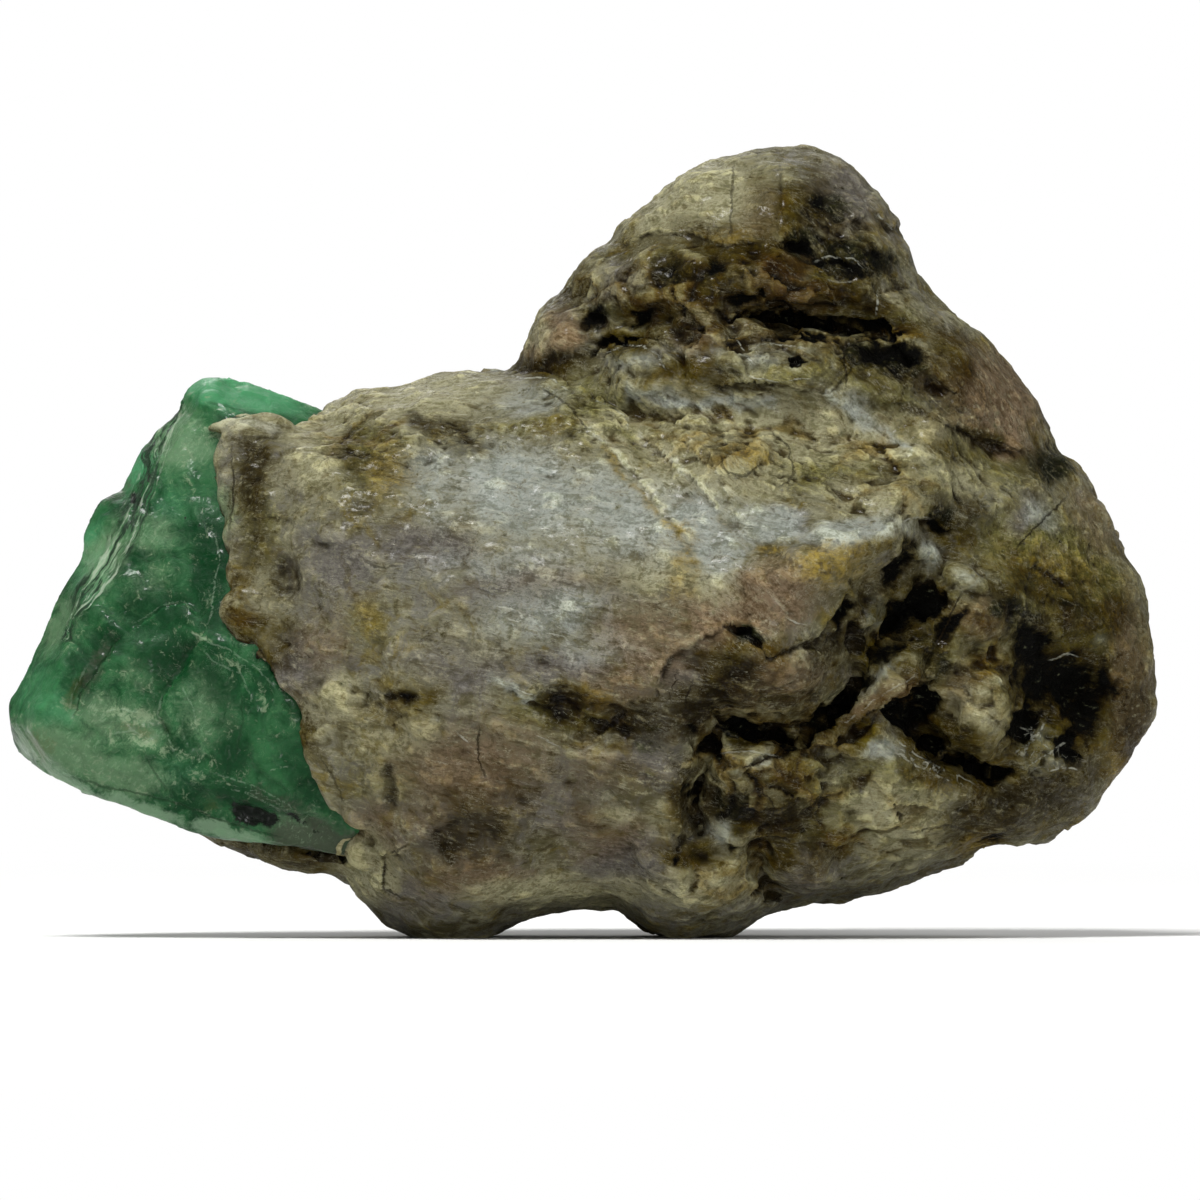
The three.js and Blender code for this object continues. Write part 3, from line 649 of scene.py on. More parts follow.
def emerald_depths(gem, clouds):
    """Cloudy green with a pale veil, and over it the zones that the crystal's marks place, among them painted
    light.
    """
    depth = gem.rise(clouds.broad[0] * 0.5 + clouds.cloud[0] * 0.5, 0.4, 0.6)
    gem.colour = gem.blend(depth, DEEP_GREEN, CLEAR_GREEN)
    veil = gem.rise(clouds.cloud[1] * 0.4 + clouds.wisp[1] * 0.6, 0.5, 0.66)
    gem.paint(veil * 0.3, VEIL)
    for name, (shade, strength, broken, soft) in ZONES.items():
        amount = gem.mask(name) + (clouds.cloud[2] - 0.5) * broken + (clouds.wisp[2] - 0.5) * broken
        gem.paint(gem.rise(amount, 0.5 - soft, 0.5 + soft) * strength, shade)


def emerald_finish():
    """Cloudy green beryl: deep and pale zones, painted light on its top and left flank, painted sparkle in
    its haze, veils, veins and painted highlight lines, a worn striated edge, and a wet gloss.
    """
    gem = Finish(bpy.data.materials.new("emerald_finish"))
    broad = gem.noises(3.6, detail=3)
    cloud = gem.noises(1.1, detail=5, roughness=0.62, distortion=0.9)
    wisp = gem.noises(0.4, detail=5, roughness=0.68, distortion=1.6)
    emerald_depths(gem, SimpleNamespace(broad=broad, cloud=cloud, wisp=wisp))
    # Painted highlight: fine pale flecks over the hazy zones, laid in as their sparkle.
    fleck = gem.noises(0.16, detail=3, roughness=0.7, distortion=0.6, place=gem.stretch(52, 3))
    flecked = gem.rise(gem.mask("haze") + (cloud[0] - 0.5) * 2, 0.2, 0.9) * gem.rise(fleck[0], 0.54, 0.64)
    gem.paint(flecked * 0.22, SPARKLE_FLECK)
    thread = gem.rise(gem.apart(wisp[0], 0.5), 0.012, 0) * gem.rise(cloud[0], 0.5, 0.64)
    gem.paint(thread * 0.2, GREEN_THREAD)

    along_edge = {0: gem.mask("band_across"), 1: gem.mask("band_along") * ALONG_STRIPES}
    path = gem.add("CombineXYZ", {}, along_edge).outputs[0]
    stripe = gem.noises(0.24, detail=4, roughness=0.65, distortion=0.4, place=path, unit=1)
    band = gem.rise(gem.mask("band") + (stripe[1] - 0.5) * 1.6 + (wisp[1] - 0.5), 0.3, 0.75)
    gem.paint(band * gem.rise(stripe[0], 0.51, 0.44), DARK_STRIPE)
    gem.paint(band * gem.rise(stripe[0], 0.53, 0.61) * 0.6, PALE_STRIPE)
    crack = gem.drawn("crack", 0.14, (wisp[1] - 0.5) * 2)
    gem.paint(crack * 0.8, DARK_CLEFT)
    # Pale lines: partly white veins, partly painted highlights along lit edges.
    vein = gem.drawn("glint", 0.1, (wisp[2] - 0.5) * 2) * gem.rise(wisp[0], 0.42, 0.54)
    gem.paint(vein * 0.36, PALE_VEIN_AND_HIGHLIGHT)

    relief = wisp[0] * 0.4 + cloud[0] * 0.5 + fleck[0] * 0.2 + stripe[0] * band - crack * 0.3 + vein * 0.3
    body = gem.add("BsdfPrincipled", {}, {
        "Base Color": gem.colour, "Roughness": gem.rise(cloud[1], 0.3, 0.7) * 0.2 + 0.3,
        "Normal": gem.bump(relief, 0.22, 0.55), "IOR": 1.58, "Specular IOR Level": 0.07,
        "Coat Weight": gem.rise(wisp[0] * 0.5 + wisp[2] * 0.5, 0.5, 0.62) * 0.4, "Coat Roughness": 0.1,
        "Subsurface Weight": 0.35, "Subsurface Radius": (0.4, 1.0, 0.55), "Subsurface Scale": 1.4 * MM,
    })
    return gem.done(body.outputs[0])


# ---------- the rock's surface ----------

# Where the front is broken into blocks and flakes: [x, z, half length, half width, turn, strength].
BROKEN_GROUND = [
    [-16, 20.5, 1.4, 5.5, 5, 0.3], [-14.4, 12, 1.2, 3.6, 25, 0.4], [15, 23, 4, 2.6, -30, 0.5],
    [7.5, 31.4, 9, 2.6, -4, 0.75], [13, 34.6, 2.6, 1.8, 0, 0.4], [20, 14, 8.5, 7, 30, 0.4],
    [9, 9, 5, 3.5, 10, 0.7], [13, 6, 6, 3, 0, 0.5], [8, 3.5, 5, 2.5, 0, 0.5], [-11, 25, 3, 2, 0, 0.5],
    [7, 24.8, 6, 2.2, 0, 0.5], [1, 25.5, 3.5, 1.6, -20, 0.4], [-10, 11.5, 2.6, 2.2, 0, 0.35],
    [0, 11.5, 3.5, 1.2, -15, 0.5], [18, 27, 4, 2.5, -40, 0.35],
]

# Where the ground is wrinkled into small curls: [x, z, half length, half width, turn, depth].
CURLED_GROUND = [
    [4.4, 26.1, 2.4, 1, -12, 0.3], [8.6, 25.4, 5, 1.8, -8, 0.16], [10.3, 22.9, 1.6, 1.2, 0, 0.3],
    [12.6, 24.4, 3, 1.8, 0, 0.14], [12.6, 35.2, 2.4, 2.6, 0, 0.3], [0.6, 25.6, 2.4, 1.2, -20, 0.2],
    [12.4, 32.8, 1.8, 0.8, -6, 0.3], [10, 28.9, 2.8, 1.2, -5, 0.2], [2.2, 28.2, 1.8, 1, 0, 0.25],
    [16.2, 28, 3.2, 1.6, -35, 0.3], [23, 9.6, 2, 1.6, 0, 0.4], [19.6, 23, 3, 1.8, -30, 0.2],
    [-6.4, 24.8, 1.6, 1.2, -20, 0.25], [-2, 12.2, 2.6, 1, -15, 0.25], [24, 19, 2.4, 2.4, -30, 0.2],
    [-10.6, 24.2, 2, 2, 0, 0.15], [-9.6, 11.8, 2.2, 1, 0, 0.2], [5.6, 37.4, 3, 1.2, 15, 0.1],
]

# Swellings of the front, or dips with a height below 0: [x, z, half length, half width, turn, height].
SWELLINGS = [
    [14.9, 12, 2.8, 0.8, 32, 0.4],  # slanting slab between the mica pockets
    [15.2, 13.6, 1.7, 1, 30, 0.35], [19.9, 11.2, 1.4, 1.9, 0, 0.45], [16.9, 19, 0.8, 0.6, -20, 0.3],
    [14.4, 16.4, 1.2, 0.5, 62, 0.3], [19, 17.9, 1.1, 0.6, -15, 0.3], [19.4, 15.8, 1.5, 1.1, 0, 0.4],
    [15.8, 6, 2.8, 2, -25, 0.4], [21.5, 6.2, 2, 1, 10, 0.25], [12.8, 7.6, 0.8, 1, 0, 0.35],
    [12.5, 5.6, 0.9, 0.9, 0, 0.3], [13.6, 9.2, 0.6, 0.5, 0, 0.25], [11.4, 8.6, 0.5, 0.5, 0, 0.3],
    [11.3, 7, 0.5, 0.5, 0, 0.25], [9.8, 12.6, 2.4, 1.4, 15, 0.4], [7.5, 9, 1.6, 0.6, 15, 0.3],
    [10.8, 3.4, 1.5, 1.3, 0, 0.35], [6.3, 2.8, 2.6, 1.2, 4, 0.3], [7, 5.4, 1.4, 0.8, 10, 0.3],
    [3.4, 5.6, 1.2, 1.4, 0, 0.2], [-12.2, 11.9, 0.9, 0.9, 0, 0.3], [7.6, 23.8, 1.2, 0.8, 0, 0.25],
    [10, 33.3, 1.2, 0.7, -10, 0.35], [7.5, 33.9, 0.7, 0.45, 0, 0.2], [-1.5, 29.9, 1.2, 1.5, -35, 0.3],
    [5.4, 30.6, 0.6, 0.9, 0, 0.3], [6.3, 29.9, 0.7, 0.9, 0, 0.3], [4.2, 33.6, 1.8, 0.8, 10, 0.3],
    [8, 15, 0.9, 0.5, -25, -0.5], [17.6, 20.6, 0.9, 0.5, -40, -0.3], [23, 23.8, 0.8, 0.8, 0, -0.25],
    [-9, 12, 0.6, 0.35, 0, -0.2], [-9.7, 7.4, 0.4, 1.2, 10, -0.25], [-6, 5.2, 2, 1.1, 20, -0.45],
    [-14.8, 18, 0.8, 1, 0, -0.25], [-0.6, 11.8, 1.2, 0.6, -10, -0.2], [2.3, 10.8, 0.9, 0.7, 0, -0.15],
    [-7.4, 9.4, 1.2, 1.6, 20, 0.25], [-4, 9.6, 0.9, 1.2, 0, 0.2], [-10.4, 3.4, 1.4, 1.8, 0, 0.25],
]

# Pockets of black mica, from which the stone has gone: [x, z, half length, half width, turn, depth].
POCKETS = [
    [11, 30.75, 3.8, 0.2, -5, 0.5], [14.2, 30.3, 1.8, 0.18, -8, 0.5], [11, 29.8, 1.5, 0.14, -8, 0.3],
    [1.9, 29.75, 1.5, 0.16, 6, 0.5], [14.4, 29.2, 1, 0.5, -20, 0.3], [15.8, 29, 0.9, 0.4, -20, 0.3],
    [10.6, 34.4, 0.8, 0.5, -20, 0.3], [12.6, 33.4, 1.6, 0.3, -4, 0.3], [14.6, 34, 0.5, 0.3, 0, 0.2],
    [11.6, 36.6, 0.5, 0.4, 0, 0.2], [6.6, 33.2, 0.35, 0.5, 0, 0.3], [7.6, 32.9, 0.25, 0.25, 0, 0.2],
    [0.6, 30.8, 0.4, 0.6, 0, 0.3], [3, 30.9, 0.8, 0.3, 20, 0.25], [8.2, 31.9, 0.6, 0.3, 0, 0.25],
    [16.9, 16.9, 0.9, 0.8, 20, 0.8], [15.9, 16.2, 1.1, 0.9, 40, 0.8], [17.5, 20.3, 0.8, 0.4, -40, 0.4],
    [15.4, 18.6, 0.4, 1.2, -30, 0.3], [15, 14.4, 0.5, 0.9, -35, 0.5], [18.1, 15.6, 0.35, 1.2, -25, 0.4],
    [16.1, 10.7, 0.7, 1.1, 10, 0.8], [17, 11.8, 0.7, 0.7, 0, 0.7], [17.2, 9.6, 0.9, 0.5, -30, 0.6],
    [19, 8.6, 1.5, 0.5, -15, 0.6], [20.7, 8.2, 0.7, 0.3, -10, 0.4], [22.3, 14.6, 1.2, 0.9, -10, 0.6],
    [24.4, 12.7, 1.3, 1.2, 0, 0.9], [22.6, 12.6, 0.9, 1.2, 0, 0.7], [25, 11.4, 0.9, 1.5, 0, 0.8],
    [21.9, 10.8, 0.5, 1.2, -10, 0.6], [24.2, 9.6, 0.6, 0.8, 0, 0.5], [26, 12.9, 0.4, 1, 0, 0.4],
    [13.2, 12.1, 1.1, 0.28, 45, 0.6], [12, 11.2, 0.8, 0.28, 30, 0.6], [9.2, 10.1, 1.7, 0.22, -8, 0.5],
    [7.6, 10.8, 0.8, 0.25, 0, 0.3], [5.4, 10.6, 0.6, 0.25, 0, 0.2], [5.5, 7.2, 0.25, 0.8, 5, 0.2],
    [6.4, 9.6, 0.6, 0.4, 0, 0.25], [7.3, 4.7, 0.25, 0.2, 0, 0.2], [4.7, 3.8, 0.3, 0.25, 0, 0.2],
    [20.4, 4.9, 0.5, 0.25, 10, 0.2], [8, 15.1, 0.5, 0.25, -25, 0.3], [12.9, 15.9, 0.35, 0.9, -40, 0.3],
]
BORE = [10.55, 28.65, 0.42, 0.3, -15, 0.6]  # little round hole in the pale block

# Crusts of rock that lap over the crystal's front: [x, z, half length, half width, turn, half thickness].
CRUSTS = [
    [-17, 25.6, 2, 0.4, 6, 0.65], [-16, 25.3, 1.6, 0.9, 0, 0.9], [-16.6, 24, 1.9, 1.9, 8, 0.75],
    [-16.5, 22.2, 1.9, 2, -4, 0.75], [-16.1, 20.2, 1.9, 2.1, -6, 0.75], [-16, 18.2, 1.9, 2, 4, 0.75],
    [-16.1, 16.2, 1.9, 1.7, 8, 0.75], [-11.2, 4.7, 1.3, 1.1, -20, 1.1], [-11.4, 6.8, 0.9, 1.6, 20, 1],
]

# Cracks wide enough to be cut: how deep, and the path as [x, z, half width].
CRACKS = [
    (0.5, [[7.2, 30.8, 0.12], [9, 31.1, 0.18], [12, 30.5, 0.2], [15.5, 30.1, 0.15]]),  # long crevice
    (0.6, [[0.4, 29.2, 0.15], [1.8, 29.8, 0.22], [3.4, 29.6, 0.16]]),  # over the knob
    (0.3, [[12.9, 29.5, 0.18], [13, 28.3, 0.16], [12.7, 27.2, 0.14]]),
    (0.4, [[8.3, 14.9, 0.2], [8.9, 14.1, 0.15], [9.8, 14.2, 0.15], [11.8, 14.8, 0.18], [13.2, 16.8, 0.2]]),
    (1, [[6.8, 10.9, 0.2], [8.4, 10.2, 0.25], [10.7, 9.9, 0.25], [11.9, 10.8, 0.28], [13.2, 12.1, 0.35],
         [14, 13.7, 0.28], [14.9, 15.4, 0.25], [15.8, 16.3, 0.2]]),  # black crevice below the brow
    (0.4, [[10.7, 9.8, 0.15], [9.6, 9.2, 0.15], [8.4, 8.7, 0.12]]),
    (0.7, [[12.6, 9.8, 0.18], [14, 10.7, 0.22], [15.8, 11.8, 0.25], [17.4, 13, 0.16]]),  # under the slab
    (0.3, [[5.9, 8.3, 0.3], [5.4, 6.8, 0.3], [5.1, 5.6, 0.25], [4.5, 4.3, 0.2]]),
]

# Streaks of one mineral in another: its name, how strong, and the path as [x, z, half width].
STREAKS = [
    ("cream", 1, [[0.2, 25.6, 0.4], [1.8, 23.9, 0.6], [3.3, 22.1, 0.7], [5.8, 19.2, 0.4]]),
    ("cream", 1, [[2.8, 25.2, 0.5], [4.8, 23.6, 0.7], [7.2, 20.8, 0.5]]),
    ("cream", 0.9, [[5.8, 24.4, 0.4], [6.7, 23.1, 0.6], [8.3, 20.2, 0.4]]),
    ("crust", 0.7, [[0.2, 25.4, 0.12], [1.8, 23.8, 0.2], [3.3, 22, 0.22], [5.8, 19.1, 0.12]]),
    ("crust", 0.8, [[2.8, 25, 0.15], [4.8, 23.4, 0.25], [7.2, 20.6, 0.12]]),
    ("crust", 0.6, [[5.8, 24.2, 0.12], [6.6, 23.1, 0.15], [8.2, 20, 0.1]]),
    ("ochre", 0.6, [[1, 24.2, 0.12], [2.8, 22.2, 0.2], [4.2, 20.6, 0.25], [5.6, 18.6, 0.3],
         [5.6, 16.8, 0.2]]), ("lilac", 0.7, [[4.6, 22.6, 0.4], [6, 20.9, 0.5]]),
    ("lilac", 0.7, [[8.8, 21.6, 0.4], [10.6, 20.6, 0.5]]),
    ("umber", 0.8, [[6.6, 27.5, 0.16], [8.6, 27.6, 0.14], [11.6, 27.2, 0.16]]),
    ("umber", 0.7, [[12.8, 28.6, 0.1], [12.4, 27.6, 0.14], [11.9, 27, 0.1]]),
    ("quartz", 0.8, [[2.4, 27.2, 0.2], [4.4, 26.6, 0.3], [6.8, 26.9, 0.3], [9.2, 26.6, 0.4]]),
    ("quartz", 0.7, [[11.8, 27.2, 0.2], [14, 25.8, 0.3], [16.2, 24.4, 0.2]]),
    ("umber", 0.6, [[13.4, 28, 0.15], [15.6, 26.6, 0.2], [17.6, 25.6, 0.15]]),
    ("olive", 0.9, [[-3.6, 11, 0.3], [-1.4, 11.4, 0.4], [1.2, 11, 0.3]]),
    ("umber", 0.8, [[-8.6, 26, 0.3], [-7, 25.4, 0.4], [-5.4, 24.4, 0.3]]),
    ("quartz", 0.7, [[-4.6, 12.8, 0.15], [-3.4, 12.5, 0.25], [-2.3, 12, 0.15]]),
]

# Low steps up to the ground at the right of a path of [x, z]: how high, how far they fade, and the path.
STEPS = [
    (0.35, 1.2, [[-4.2, 28.1], [-1.6, 27.9], [-0.6, 27.2], [0.2, 27], [2.2, 25.9], [2.2, 25.2]]),
    (0.2, 2, [[9.6, 34.7], [7.4, 34.4], [5, 35.1], [3, 35], [1.3, 34.6]]),  # foot of the dome
    (0.1, 2, [[9.8, 34.4], [9.8, 36.2], [9.9, 38.6]]),  # where the dome's dark side begins
    (0.3, 1.2, [[15.4, 10], [16.4, 9.2], [17.6, 8.3], [18.8, 8.2], [19.6, 7.6]]),  # white flake edge
    (0.3, 1.5, [[8.1, 15.4], [6.6, 15.5], [5.3, 14.9], [4.3, 13.9], [3.4, 12.6]]),
    (0.3, 1.4, [[22.3, 24], [20.6, 24.6], [18.3, 25.5], [17, 25]]),
    (0.25, 1.2, [[15.6, 35.2], [14.8, 35.9], [13.9, 36.9]]),
    (0.2, 1.2, [[14.2, 20.2], [16, 21.2], [17.8, 21], [18.6, 20]]),
    (0.15, 1.6, [[5.8, 19.1], [3.3, 22], [1.8, 23.8], [0.2, 25.4]]),
    (0.15, 1.6, [[7.2, 20.6], [4.8, 23.4], [2.8, 25]]), (0.12, 1.4, [[8.2, 20], [6.6, 23.1], [5.8, 24.2]]),
    (0.3, 1, [[11.9, 27], [12.7, 27.9], [12.8, 29.6]]),
    (0.35, 1.2, [[11.6, 27.2], [8.6, 27.7], [6.6, 27.5]]),
    (0.3, 1, [[4.2, 28.2], [3.6, 29.2], [2, 29.6], [0.9, 29]]),  # crescent on the knob
    (0.2, 1, [[-8.4, 4.8], [-9.8, 4.2], [-10, 2.6], [-8.4, 1.7]]),
]

# Hairline cracks, and bright edges painted as highlights where they would catch the light: how strong, and
# the path as [x, z].
HAIRLINES = [
    (0.5, [[7.5, 38.9], [7.35, 36.8], [7.3, 34.5]]),  # down the dome
    (0.8, [[21.4, 19.2], [22, 20], [23, 21], [24.3, 22.2]]),
    (0.8, [[18.8, 17.3], [18.1, 15.9], [17.3, 14.4]]),
    (0.9, [[10.7, 9.9], [9.6, 9.3], [8.4, 8.7], [7.6, 8.5]]), (0.7, [[-5.2, 10.8], [-5.2, 9], [-4.8, 7.9]]),
    (0.7, [[-8.4, 4.8], [-9.8, 4.2], [-10, 2.6], [-8.4, 1.7]]), (0.6, [[-7, 1.9], [-6, 1.5], [-5.4, 1.3]]),
    (0.8, [[4, 13.6], [3.6, 12.7], [3.7, 12]]), (0.8, [[5.4, 12.9], [5, 11.9], [5.1, 11.1]]),
    (0.7, [[-17.5, 24.8], [-17.4, 22.4], [-17.6, 20.2]]), (0.25, [[9.8, 38.4], [9.85, 36.4], [9.7, 34.9]]),
    (0.3, [[1.2, 34.8], [3, 35], [5, 35.1], [7.2, 34.4], [9.4, 34.7]]), (0.7, [[12.9, 29.5], [13, 27.2]]),
    (0.5, [[16.2, 31.6], [15.2, 33], [15.4, 34.6]]),
    (0.6, [[17.2, 26], [18.6, 25.2], [20.6, 24.7], [22, 24.1]]),
    (0.5, [[-11.2, 19.2], [-10.2, 18.4], [-9, 18.5]]), (0.5, [[-13.2, 9.2], [-12.4, 8], [-11.8, 6.6]]),
    (0.6, [[16, 5.2], [18, 5.7], [20.2, 5.1]]), (0.7, [[8.6, 7.9], [9.4, 6.6], [9.2, 5]]),
    (0.6, [[-2.4, 27.6], [-0.6, 26.4], [0.4, 24.9]]),
    (0.6, [[9, 25.4], [10.2, 24.4], [10.4, 23], [9.4, 22.2]]),
    (0.6, [[6.7, 24.3], [7, 23.2], [8, 22.9], [8.8, 23.6]]),
]
PAINTED_GLINTS = [
    (0.8, [[0.9, 29], [2, 29.55], [3, 29.45], [3.7, 29], [4.1, 28.2]]),  # crescent on the knob
    (0.8, [[-4, 28], [-1.6, 27.9], [-0.8, 27.2]]), (0.7, [[0.2, 27], [2.2, 25.9], [2.2, 25.3]]),
    (0.9, [[13.9, 36.9], [14.8, 35.9], [15.6, 35.2]]), (0.9, [[14.5, 32.3], [14.6, 31.7], [14.5, 31]]),
    (0.6, [[11.4, 33.6], [12.2, 33.9], [13.4, 33.8], [13.9, 33.3]]),
    (0.3, [[11.2, 33], [12.6, 32.6], [13.4, 32.7]]), (0.9, [[7.5, 29.9], [7.9, 29.2], [8.4, 28.6]]),
    (0.7, [[8.6, 29.6], [9.8, 29.5], [11.2, 29.3]]), (0.7, [[8, 28], [9.6, 27.6], [11.4, 27.9]]),
    (0.9, [[15.4, 10], [16.4, 9.2], [18, 8.4], [19.6, 7.6]]),
    (0.6, [[15.2, 9.4], [16.6, 8.6], [18.4, 7.7]]), (0.8, [[-4.4, 16.6], [-3.4, 16.35], [-2.5, 16]]),
    (0.8, [[-3.8, 15.9], [-2.9, 15.6]]), (0.8, [[-1.8, 15.2], [-0.9, 15.05]]),
    (0.8, [[-0.9, 14.6], [0, 14.5]]), (0.7, [[1.2, 15.9], [1.9, 15.75]]),
    (0.8, [[-4.4, 12.8], [-3.2, 12.4], [-2.3, 12.1]]), (0.7, [[-2.4, 10.2], [-1.3, 9.6]]),
    (0.8, [[10.1, 15.9], [10.9, 15.6]]), (0.7, [[-6.2, 10.2], [-5.6, 9.7]]),
    (0.6, [[-3.4, 29], [-2.2, 31], [-0.4, 33]]), (0.6, [[16.6, 19.6], [17.4, 19], [17.7, 18.4]]),
    (0.6, [[21.6, 10.6], [22.6, 10], [23.6, 8.8]]), (0.4, [[12.5, 10.4], [14.4, 11.9], [16.8, 13.3]]),
    (0.6, [[6.6, 9.3], [8.4, 9.4], [10.2, 8.9]]), (0.9, [[21.4, 9.2], [22.4, 9.9], [23, 10.8]]),
    (0.8, [[22, 8.6], [23.2, 9.2], [24.2, 9.9]]), (0.7, [[22.6, 8.2], [23.8, 8.5], [24.8, 8.4]]),
    (0.8, [[21.8, 8.9], [22.2, 9.9], [22.3, 10.8]]), (0.6, [[15.2, 20.2], [16.2, 20.9], [17.2, 20.9]]),
    (0.6, [[23, 13.8], [24.2, 14.2], [25.2, 13.8]]), (0.5, [[-12, 22.6], [-11.2, 21.4]]),
    (0.5, [[-8, 24.6], [-7, 23.8]]), (0.5, [[5.4, 27.4], [7, 27]]),
]

